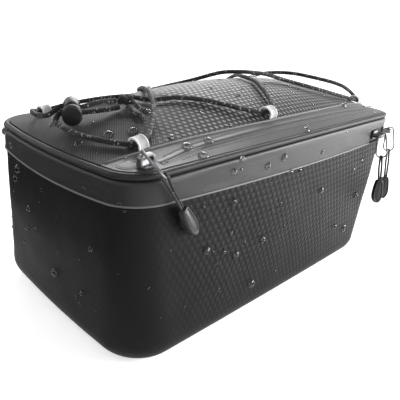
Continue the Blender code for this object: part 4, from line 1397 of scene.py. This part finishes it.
def puller_shapes(row, place):
    """The paths of a puller's ring and cord, and the frame of its tab."""
    hang = Vector(row["hang"]).normalized()
    side = Vector(row["side"])
    side = (side - side.dot(hang) * hang).normalized()
    normal = hang.cross(side)
    stand = SLIDER_STAND + SLIDER_THICK + BRIDGE_STANDS[row["slider"]]
    apex = place @ Vector((0, 0, stand)) - hang * RING_SEAT
    straight = RING_LENGTH - WIRE - RING_TOP_RADIUS - RING_END_RADIUS
    ring_path = []
    for radius, down, start in ((RING_TOP_RADIUS, RING_TOP_RADIUS, 180),
                                (RING_END_RADIUS, RING_TOP_RADIUS + straight, 0)):
        for step in range(25):
            angle = radians(start + 180 * step / 24)
            ring_path.append(apex + hang * (down + radius * sin(angle))
                             + side * radius * cos(angle))
    reach = WIRE / 2 + GAP * 1.2 + PULL_CORD / 2
    end = apex + hang * (RING_TOP_RADIUS + straight)
    tab_top = tab_place(row)
    fall = tab_top - end
    pull = (fall - fall.dot(normal) * normal).normalized()
    seat = end + pull * RING_END_RADIUS
    way = Vector(row["tab_way"]).normalized()
    tab_side = (side - side.dot(way) * way).normalized()
    strand = tab_side * (PULL_CORD / 2 + GAP)
    turn = [seat + normal * reach * cos(radians(angle)) - pull * reach * sin(radians(angle))
            for angle in (0, 45, 90, 135, 180)]
    half_way = seat.lerp(tab_top, 0.4)
    cord_places = [tab_top + strand, half_way + strand * 1.3, *turn, half_way - strand * 1.3,
                   tab_top - strand]
    tab_frame = Matrix((tab_side, way.cross(tab_side), way)).transposed().to_4x4()
    tab_frame.translation = tab_top + way * GAP
    hitch = seat - pull * 0.0006
    return ring_path, smooth_path(cord_places, 10), tab_frame, hitch


def tab_bmesh(place):
    """A moulded pull tab along a frame's Z, with a raised rim and a rib on both faces."""
    shape = smooth_path([Vector((down, wide, 0)) for down, wide in TAB_SHAPE], 6)
    half = TAB_THICK / 2
    levels = ((TAB_RIM + 0.0012, -half + TAB_DISH * 0.4), (TAB_RIM + 0.0006, -half + TAB_DISH),
              (TAB_RIM, -half + TAB_DISH * 0.4), (TAB_RIM - 0.0003, -half), (0.0009, -half),
              (0.0004, -half + 0.0003), (0.0001, -half + 0.0008), (0.0, -half + 0.0015),
              (0.0, half - 0.0015), (0.0001, half - 0.0008), (0.0004, half - 0.0003),
              (0.0009, half), (TAB_RIM - 0.0003, half), (TAB_RIM, half - TAB_DISH * 0.4),
              (TAB_RIM + 0.0006, half - TAB_DISH), (TAB_RIM + 0.0012, half - TAB_DISH * 0.4))
    rows = []
    for inset, level in levels:
        wide = TAB_WIDTH / 2 - inset
        long = TAB_LENGTH - 2 * inset
        right = [(wide * row.y, inset + long * row.x) for row in shape]
        left = [(-x, z) for x, z in reversed(right)]
        rows.append([place @ Vector((x, level, z)) for x, z in right + left])
    return grid(rows, around=True, caps=True)


# ---------------------------------------------------------------- settings

def colour_setting(name, description, default):
    return FloatVectorProperty(name=name, description=description, subtype="COLOR", size=3,
                               default=default)


def number_setting(name, description, default, **more):
    return FloatProperty(name=name, description=description, default=default, **more)


def length_setting(name, description, default, **more):
    return number_setting(name, description, default, unit="LENGTH", **more)


def count_setting(name, description, default, **more):
    return IntProperty(name=name, description=description, default=default, **more)


class BagCloth(bpy.types.PropertyGroup):
    """Cloth of the tub, band and lid."""
    tub_colour: colour_setting("Tub", "Colour of the tub's cloth", (0.0070, 0.0070, 0.0072))
    # The tub's and lid's dot colours are painted highlights on the dots' crowns and rib crests,
    # also taken by the scuffs.
    dot_highlight_and_scuff_colour: colour_setting("Tub dots", "Colour on the tub's dots", (0.014, 0.014, 0.0143))
    lid_colour: colour_setting("Lid", "Colour of the lid's cloth", (0.010, 0.010, 0.0103))
    lid_dot_highlight_and_scuff_colour: colour_setting("Lid dots", "Colour on the lid's dots", (0.185, 0.185, 0.186))
    band_colour: colour_setting("Band", "Colour of the lid's side band", (0.015, 0.015, 0.0153))
    strip_colour: colour_setting("Strip", "Colour of the pocket's strip", (0.058, 0.058, 0.0585))
    trim_colour: colour_setting("Trim", "Colour of the hem and pipings", (0.095, 0.095, 0.0955))
    webbing_colour: colour_setting("Webbing", "Colour of the loops", (0.30, 0.30, 0.30))
    tub_dot_pitch: length_setting("Tub dot pitch", "Distance between dots", 0.0058, min=0.001)
    lid_dot_pitch: length_setting("Lid dot pitch", "Distance between lid dots", 0.0052, min=0.001)
    tub_dot_size: number_setting("Tub dot size", "Radius in pitches", 0.40, min=0.1, max=0.5)
    lid_dot_size: number_setting("Lid dot size", "Radius in pitches", 0.45, min=0.1, max=0.5)
    dot_height: length_setting("Dot height", "How far tub dots are raised", 0.00036)
    lid_dot_height: length_setting("Lid dot height", "How far lid dots rise", 0.00038)
    cloth_wave: length_setting("Cloth wave", "Waves in the tub's walls", 0.0011)
    lid_wave: length_setting("Lid wave", "Waves in the lid's top", 0.0006)


class BagCord(bpy.types.PropertyGroup):
    """Elastic cord, knot and pull cords."""
    colour: colour_setting("Cord", "Colour of the cord's sheath", (0.009, 0.009, 0.0093))
    fleck_colour: colour_setting("Flecks", "Colour of the light threads", (0.20, 0.20, 0.20))
    flecks: number_setting("Fleck share", "Share of strands that are light",
                           0.16, min=0.0, max=1.0)
    strand: length_setting("Strand length", "Length of a braid's strand", 0.0018)
    sides: count_setting("Sides", "Sides of the cord's tube", 14, min=6)


class BagHardware(bpy.types.PropertyGroup):
    """Zip metal and moulded plastic."""
    metal_colour: colour_setting("Metal", "Colour of sliders and rings", (0.13, 0.13, 0.134))
    plastic_colour: colour_setting("Plastic", "Colour of lock and tabs", (0.009, 0.009, 0.0095))
    roughness: number_setting("Metal roughness", "Roughness of the metal", 0.36, min=0.0, max=1.0)
    edge: length_setting("Edge", "Rounding of the hard pieces' edges", 0.0004)


class BagStitching(bpy.types.PropertyGroup):
    """Stitches and zip ribs."""
    pitch: length_setting("Stitch pitch", "Distance between stitches", 0.0030)
    length: length_setting("Stitch length", "Length of a stitch", 0.0023)
    thread: length_setting("Thread", "Thickness of the thread", 0.0005)
    rib_pitch: length_setting("Coil pitch", "Distance between zip ribs", 0.0015)
    seed: count_setting("Seed", "Seed of the stitches' looseness", 4)


class BagStage(bpy.types.PropertyGroup):
    """Floor, light and water drops."""
    floor_colour: colour_setting("Floor", "Colour of the floor", (0.86, 0.86, 0.86))
    key_power: number_setting("Key light", "Power of the key light", 46.0, unit="POWER")
    top_power: number_setting("Top light", "Power of the light over the lid", 17.0, unit="POWER")
    world_strength: number_setting("Room light", "Strength of the room's light", 0.35)
    floor_glow: number_setting("Floor glow", "Light that the floor gives", 0.45)
    drops: count_setting("Drops", "Number of water drops", 300)
    drop_seed: count_setting("Drop seed", "Seed of the drops' places", 11)


# ---------------------------------------------------------------- operators

class MakeStage(bpy.types.Operator):
    """Makes the camera, the pale floor and the soft studio light"""
    bl_idname = "rack_bag.stage"
    bl_label = "Stage"

    def execute(self, context):
        settings = context.scene.bag_stage
        place_camera(context)
        mesh = mesh_of("studio_floor", floor_bmesh())
        mesh.materials.append(pale_floor(settings.floor_colour, settings.floor_glow))
        mesh.shade_smooth()
        floor = placed("studio_floor", mesh)
        for name, power, size, place in (
                ("key_light", settings.key_power, (1.0, 0.7), (1.05, -1.00, 0.42)),
                ("top_light", settings.top_power, (1.0, 0.6), (0.75, 0.80, 0.80)),
                ("rim_light", settings.key_power * 0.05, (0.4, 0.4), (-0.9, 0.7, 0.9))):
            lamp = bpy.data.lights.new(name, "AREA")
            lamp.energy = power
            lamp.shape = "RECTANGLE"
            lamp.size, lamp.size_y = size
            made = placed(name, lamp)
            made.location = place
            aim = LIGHT_AIM - Vector(place)
            made.rotation_euler = aim.to_track_quat("-Z", "Y").to_euler()
        world = bpy.data.worlds.new("room_light")
        world.use_nodes = True
        background = world.node_tree.nodes["Background"]
        background.inputs["Color"].default_value = (0.97, 0.98, 1.0, 1.0)
        background.inputs["Strength"].default_value = settings.world_strength
        context.scene.world = world
        context.scene.view_settings.view_transform = "Standard"
        return {"FINISHED"}


def floor_bmesh():
    """A round floor that curves up into a wall, its faces turned inwards."""
    profile = [(radius, 0.0) for radius in FLOOR_RINGS]
    for step in range(1, FLOOR_STEPS + 1):
        angle = radians(90 * step / FLOOR_STEPS)
        profile.append((FLOOR_RINGS[-1] + FLOOR_CURVE * sin(angle),
                        FLOOR_CURVE * (1 - cos(angle))))
    profile.append((FLOOR_RINGS[-1] + FLOOR_CURVE, WALL_HEIGHT))
    rows = [[Vector((radius * cos(tau * turn / FLOOR_TURNS),
                     radius * sin(tau * turn / FLOOR_TURNS), height))
             for turn in range(FLOOR_TURNS)] for radius, height in profile]
    bm = grid(rows, around=True)
    centre = bm.verts.new((0, 0, 0))
    bm.verts.ensure_lookup_table()
    for turn in range(FLOOR_TURNS):
        bm.faces.new((bm.verts[(turn + 1) % FLOOR_TURNS], bm.verts[turn], centre))
    bmesh.ops.translate(bm, vec=(0, 0, -FLOOR_BELOW), verts=bm.verts)
    bmesh.ops.recalc_face_normals(bm, faces=bm.faces)
    bmesh.ops.reverse_faces(bm, faces=bm.faces)
    return bm


def place_camera(context):
    """The photograph's camera, from its place, its turns and its lens."""
    camera = bpy.data.cameras.new("photo_camera")
    camera.sensor_width = 36
    camera.lens = CAMERA_LENS
    camera.shift_x, camera.shift_y = CAMERA_SHIFT
    camera.clip_start = 0.01
    ahead = Vector((sin(CAMERA_YAW) * cos(CAMERA_PITCH), cos(CAMERA_YAW) * cos(CAMERA_PITCH),
                    sin(CAMERA_PITCH)))
    right = ahead.cross(Vector((0, 0, 1))).normalized()
    up = right.cross(ahead)
    turned_right = cos(CAMERA_ROLL) * right + sin(CAMERA_ROLL) * up
    turned_up = -sin(CAMERA_ROLL) * right + cos(CAMERA_ROLL) * up
    made = placed("photo_camera", camera)
    made.matrix_world = Matrix((turned_right, turned_up, -ahead)).transposed().to_4x4()
    made.location = CAMERA_PLACE
    context.scene.camera = made


class MakeCords(bpy.types.Operator):
    """Makes the laced elastic cord, its knot and its two cut ends"""
    bl_idname = "rack_bag.cords"
    bl_label = "Elastic cord"

    def execute(self, context):
        cord = context.scene.bag_cord
        sheath = finish(braid, "elastic_cord", cord.colour, cord.fleck_colour, cord.strand, 4,
                        cord.flecks)
        piece("elastic_cord", tube(bungee_path(), CORD * 0.46, cord.sides), sheath,
              ("bungee_cord",), angle=180)
        piece("knot", tube(knot_path(over_lid(on_plan(KNOT_AT), CORD), 0.00160),
                           CORD * 0.43, 12, closed=True), sheath,
              ("cord_knot",), angle=180)
        core = finish(moulded_plastic, "rubber_core", NEAR_BLACK, 0.6)
        for row in TAILS:
            path = cord_path([on_plan(place) for place in row["route"]], 10)
            pinch = lambda share: 1.0 - 0.10 * ease(0.75, 0.86, share) + 0.16 * ease(
                0.90, 1.0, share)
            piece("tail_" + row["name"][-1], tube(path, CORD * 0.46, 12, swell=pinch), sheath,
                  (row["name"],), angle=60)
            end = path[-1]
            way = (path[-1] - path[-3]).normalized()
            stub = [end + way * 0.0001, end + way * 0.0007]
            piece("cut_" + row["name"][-1], tube(stub, CORD * 0.33, 12), core,
                  angle=60)
        return {"FINISHED"}


class MakeTub(bpy.types.Operator):
    """Makes the padded tub in dotted coated cloth"""
    bl_idname = "rack_bag.tub"
    bl_label = "Tub"

    def execute(self, context):
        settings = context.scene.bag_cloth
        cloth = finish(dotted_cloth, "coated_fabric", settings.tub_colour, settings.dot_highlight_and_scuff_colour,
                       settings.tub_dot_pitch, settings.tub_dot_size, settings.dot_height,
                       0.42, 0.06, 0.10, tub_fade)
        made = piece("tub", tub_bmesh(settings), cloth, ("body_shell",),
                     angle=60)
        return {"FINISHED"}


class MakeBand(bpy.types.Operator):
    """Makes the lid's side band with its notch, hem and rolled rim"""
    bl_idname = "rack_bag.band"
    bl_label = "Band, hem and rim"

    def execute(self, context):
        settings = context.scene.bag_cloth
        cloth = finish(smooth_cloth, "band_fabric", settings.band_colour, 0.40)
        trim = finish(smooth_cloth, "trim_fabric", settings.trim_colour, 0.36)
        made = piece("band", band_bmesh(settings), cloth, angle=45)
        cutter = notch_cutter()
        change = made.modifiers.new("notch", "BOOLEAN")
        change.operation = "DIFFERENCE"
        change.solver = "EXACT"
        change.object = cutter
        applied(made)
        bpy.data.objects.remove(cutter)
        made.data.set_sharp_from_angle(angle=radians(45))
        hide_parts("lid_band")
        rim = []
        for step in range(RIM_SIDES):
            angle = tau * step / RIM_SIDES
            rim.append(ring(top_outline(PIPING / 2 * (1 + 1.06 * cos(angle))),
                            lambda x, y, a=angle: rim_height(x) + PIPING / 2 * (1 + sin(a))))
        binding = finish(smooth_cloth, "rim_binding", shade(settings.band_colour, 0.55), 0.45,
                         0.0013)
        piece("rim_roll", grid(rim, around=True, wrap=True), binding, ("rim_piping",),
              angle=180)
        hem = edge_strip(lambda x, y: hem_height(x, y) + HEM_EDGE / 2, HEM_EDGE, HEM_PROUD)
        cut_notch(hem)
        piece("hem_edge", hem, trim, angle=180)
        return {"FINISHED"}


def cut_notch(bm):
    """Removes a strip's faces inside the band's notch and closes its ends."""
    start_x = NOTCH_START * TOP_LENGTH / 2
    near_y = -TOP_WIDTH / 2 + TOP_CORNER + NOTCH_PAST_CORNER
    gone = [face for face in bm.faces
            if face.calc_center_median().x > start_x and face.calc_center_median().y < near_y]
    bmesh.ops.delete(bm, geom=gone, context="FACES")
    bmesh.ops.holes_fill(bm, edges=[edge for edge in bm.edges if edge.is_boundary], sides=20)


class MakeLid(bpy.types.Operator):
    """Makes the lid's padded top panel, the pocket strip and the seam between them"""
    bl_idname = "rack_bag.lid"
    bl_label = "Lid"

    def execute(self, context):
        settings = context.scene.bag_cloth
        cloth = finish(dotted_cloth, "mesh_fabric", settings.lid_colour, settings.lid_dot_highlight_and_scuff_colour,
                       settings.lid_dot_pitch, settings.lid_dot_size, settings.lid_dot_height,
                       0.46, 0.12, 1.0, lid_fade)
        panel = piece("top_panel", top_panel_bmesh(settings), cloth, ("lid_top",),
                      angle=60)
        strip = finish(smooth_cloth, "zip_strip", settings.strip_colour, 0.40)
        piece("zip_strip", strip_bmesh(), strip, ("pocket_strip",), angle=60)
        trim = finish(smooth_cloth, "trim_fabric", settings.trim_colour, 0.36)
        seam = [place for place, _ in lid_path(seam_share, -0.985, 0.985, 160, 0.0002)]
        piece("seam_piping", tube(seam, SEAM_RADIUS, 10), trim, angle=180)
        return {"FINISHED"}


class MakePocketZip(bpy.types.Operator):
    """Makes the pocket's coated zip and the woven patch at its end"""
    bl_idname = "rack_bag.pocket_zip"
    bl_label = "Pocket zip"

    def execute(self, context):
        settings = context.scene.bag_cloth
        film = finish(zip_film, "zip_film", settings.strip_colour)
        piece("pocket_zip", pocket_zip_bmesh(), film, angle=40)
        patch = finish(smooth_cloth, "woven_patch", PATCH_COLOUR, 0.55, 0.0014)
        piece("end_patch", grid(patch_rows()), patch, angle=180)
        return {"FINISHED"}


def patch_rows():
    """Rows of points over the end patch, which stands proud of the strip but for its rim."""
    half = PATCH_STEPS // 2
    rows = []
    for step in range(PATCH_STEPS + 1):
        row = []
        for column in range(PATCH_STEPS + 1):
            x, y = lid_point(mix(*PATCH_ALONG, column / PATCH_STEPS),
                             mix(*PATCH_ACROSS, step / PATCH_STEPS))
            rim = max(abs(step - half), abs(column - half)) == half
            row.append(Vector((x, y, lid_height(x, y) + (PATCH_RIM if rim else PATCH_PROUD))))
        rows.append(row)
    return rows


class MakeMainZip(bpy.types.Operator):
    """Makes the main zip's tape and coil, seen in the band's notch"""
    bl_idname = "rack_bag.main_zip"
    bl_label = "Main zip"

    def execute(self, context):
        stitching = context.scene.bag_stitching
        back = BAND_WALL + GAP + COIL_RISE + TAPE_THICK
        face = BAND_WALL + GAP + COIL_RISE
        profile = ((back, -0.5), (face, -0.5), (face, -0.3), (face, -0.1), (face, 0.1),
                   (face, 0.3), (face, 0.5), (back, 0.5))
        rows = [ring(top_outline(inset), lambda x, y, r=rise: zip_height(x, y) + r * TAPE_WIDTH)
                for inset, rise in profile]
        tape = finish(woven_tape, "zip_tape", TAPE_COLOUR, COIL_COLOUR, 0.9, 0.0012)
        piece("main_zip_tape", grid(rows, around=True, wrap=True), tape, ("zip_tape",),
              angle=40)
        coil = finish(moulded_plastic, "zip_coil", COIL_COLOUR, 0.32)
        plan = top_outline(face - 0.0002)
        path = []
        for index in range(len(plan) + 1):
            x, y = plan[index % len(plan)]
            before = plan[(index - 1) % len(plan)]
            after = plan[(index + 1) % len(plan)]
            out = Vector((after[1] - before[1], before[0] - after[0], 0)).normalized()
            path.append((Vector((x, y, zip_height(x, y))), out))
        beads("main_zip_coil", [path], coil, "zip_tape", Pitch=stitching.rib_pitch,
              Length=0.0009, Width=0.0033, Height=0.0010, Seed=stitching.seed)
        return {"FINISHED"}


class MakeLoops(bpy.types.Operator):
    """Makes the six reflective webbing loops with their bar tacks"""
    bl_idname = "rack_bag.loops"
    bl_label = "Webbing loops"

    def execute(self, context):
        settings = context.scene.bag_cloth
        web = finish(woven_tape, "reflective_webbing", settings.webbing_colour, WEBBING_EDGE,
                     0.74, 0.0011, 0.52)
        thread = finish(thread_finish, "dark_thread", NEAR_BLACK)
        tacks = []
        for row in LOOPS:
            bm, place = loop_bmesh(row)
            piece("strap_" + row["name"], bm, web, (row["name"],),
                  angle=50)
            up = up_of(place)
            for side in (-1, 1):
                low, high = (place @ Vector((end * LOOP_WIDTH * 0.42,
                                             side * (LOOP_SPAN / 2 + 0.0004), 0.0005))
                             for end in (-1, 1))
                tacks.append([(low.lerp(high, step / 8), up) for step in range(9)])
        beads("bar_tacks", tacks, thread, "reflective_webbing", Pitch=0.00055, Length=0.0004,
              Width=0.0014, Height=0.0005, Jitter=0.12, Seed=2)
        return {"FINISHED"}


class MakeLock(bpy.types.Operator):
    """Makes the spring cord lock's barrel and its ribbed button"""
    bl_idname = "rack_bag.lock"
    bl_label = "Cord lock"

    def execute(self, context):
        hardware = context.scene.bag_hardware
        plastic = finish(moulded_plastic, "moulded_plastic", hardware.plastic_colour)
        refined("barrel", plastic, "lock_barrel", width=hardware.edge)
        refined("button", plastic, "lock_button", body="lock_button",
                width=hardware.edge)
        return {"FINISHED"}


class MakePullers(bpy.types.Operator):
    """Makes the three zip sliders with their rings, thin cords and moulded tabs"""
    bl_idname = "rack_bag.pullers"
    bl_label = "Sliders and pullers"

    def execute(self, context):
        hardware = context.scene.bag_hardware
        cord = context.scene.bag_cord
        metal = finish(plated_metal, "gunmetal", hardware.metal_colour, hardware.roughness)
        plastic = finish(moulded_plastic, "moulded_plastic", hardware.plastic_colour)
        thin = finish(braid, "thin_cord", cord.colour, cord.fleck_colour, 0.0008, 3, 0.05)
        frames = slider_frames()
        for row in PULLERS:
            ring_node, cord_node, tab_node = row["names"]
            kind = ring_node.replace("_ring", "")
            ring_path, pull_path, tab_frame, hitch = puller_shapes(
                row, frames[row["slider"]])
            refined(kind + "_slider_body", metal, row["slider"],
                    width=hardware.edge)
            piece(kind + "_wire", tube(ring_path, WIRE / 2, 12, closed=True), metal,
                  (ring_node,), angle=180)
            thick = lambda share: 1.0 + 0.35 * ease(0.05, 0.20, abs(share - 0.5) * 2)
            piece(kind + "_pull", tube(pull_path, PULL_CORD / 2, 10, swell=thick), thin,
                  (cord_node,), angle=180)
            piece(kind + "_hitch", tube(knot_path(hitch, 0.00052), PULL_CORD * 0.48, 8,
                                        closed=True), thin, angle=180)
            piece(kind + "_grip", tab_bmesh(tab_frame), plastic, (tab_node,),
                  angle=60)
        return {"FINISHED"}


class MakeStitches(bpy.types.Operator):
    """Makes the stitches along the pocket zip and along the seam"""
    bl_idname = "rack_bag.stitches"
    bl_label = "Stitches"

    def execute(self, context):
        stitching = context.scene.bag_stitching
        thread = finish(thread_finish, "dark_thread", NEAR_BLACK)
        zip_lines = [lid_path(lambda along, off=off: zip_share(along) + off, start, 0.90, 200,
                              0.0001)
                     for off, start in ((STITCH_OFF, -0.78), (-STITCH_OFF, -0.80))]
        seam_lines = [lid_path(lambda along: seam_share(along) - SEAM_STITCH_OFF, -0.97, 0.97,
                               200)]
        for name, lines, slot, seed in (
                ("zip_stitches", zip_lines, "zip_strip", stitching.seed),
                ("seam_stitches", seam_lines, "mesh_fabric", stitching.seed + 1)):
            beads(name, lines, thread, slot, Pitch=stitching.pitch, Length=stitching.length,
                  Width=stitching.thread, Height=stitching.thread * 0.8, Jitter=0.05, Seed=seed)
        return {"FINISHED"}


class MakeDrops(bpy.types.Operator):
    """Makes the water drops that lie on the cloth in the photograph"""
    bl_idname = "rack_bag.drops"
    bl_label = "Water drops"

    def execute(self, context):
        settings = context.scene.bag_stage
        chance = Random(settings.drop_seed)
        faces = []
        for name in ("tub", "band", "top_panel", "zip_strip"):
            for face in bpy.data.objects[name].data.polygons:
                x, y, z = face.center
                if face.normal.z > -0.3 and z > 0.03 and face.normal.dot((x, y, 0.12)) > 0:
                    faces.append((face.area, face.center.copy(), face.normal.copy()))
        verts, quads = [], []
        for _, place, up in chance.choices(faces, [row[0] for row in faces], k=settings.drops):
            size = mix(*DROP_SIZES, chance.random() ** DROP_SPREAD)
            side = up.orthogonal().normalized()
            other = up.cross(side)
            first = len(verts)
            for step in range(DROP_RINGS):
                angle = radians(DROP_ANGLE * step)
                for turn in range(DROP_TURNS):
                    spin = tau * turn / DROP_TURNS
                    way = side * cos(spin) + other * sin(spin)
                    verts.append(place + way * size * cos(angle)
                                 + up * size * (DROP_HEIGHT * sin(angle) - DROP_SUNK))
            last = first + (DROP_RINGS - 1) * DROP_TURNS
            for index in range(first, last):
                wraps = (index - first) % DROP_TURNS == DROP_TURNS - 1
                after = index + 1 - (DROP_TURNS if wraps else 0)
                quads.append((index, after, after + DROP_TURNS, index + DROP_TURNS))
            quads.append(tuple(range(last, last + DROP_TURNS)))
            quads.append(tuple(reversed(range(first, first + DROP_TURNS))))
        mesh = bpy.data.meshes.new("water_drops")
        mesh.from_pydata(verts, [], quads)
        mesh.materials.append(clear_water())
        mesh.shade_smooth()
        made = placed("water_drops", mesh)
        return {"FINISHED"}


OPERATORS = (MakeStage, MakeCords, MakeTub, MakeBand, MakeLid, MakePocketZip, MakeMainZip,
             MakeLoops, MakeLock, MakePullers, MakeStitches, MakeDrops)
SETTINGS = (("bag_cloth", BagCloth), ("bag_cord", BagCord), ("bag_hardware", BagHardware),
            ("bag_stitching", BagStitching), ("bag_stage", BagStage))


class BagPanel(bpy.types.Panel):
    """Lists the bag's pieces and their settings"""
    bl_idname = "VIEW3D_PT_rack_bag"
    bl_label = "Rack bag"
    bl_space_type = "VIEW_3D"
    bl_region_type = "UI"
    bl_category = "Rack bag"

    def draw(self, context):
        for name, group in SETTINGS:
            box = self.layout.box()
            box.label(text=group.__doc__)
            for key in group.__annotations__:
                box.prop(getattr(context.scene, name), key)
        for operator in OPERATORS:
            self.layout.operator(operator.bl_idname)


def register():
    for name, group in SETTINGS:
        bpy.utils.register_class(group)
        setattr(bpy.types.Scene, name, bpy.props.PointerProperty(type=group))
    for made in (*OPERATORS, BagPanel):
        bpy.utils.register_class(made)


def unregister():
    for made in reversed((*OPERATORS, BagPanel)):
        bpy.utils.unregister_class(made)
    for name, group in reversed(SETTINGS):
        delattr(bpy.types.Scene, name)
        bpy.utils.unregister_class(group)


def main():
    """Makes every piece in order."""
    register()
    for operator in OPERATORS:
        family, name = operator.bl_idname.split(".")
        getattr(getattr(bpy.ops, family), name)()


if __name__ == "__main__":
    main()
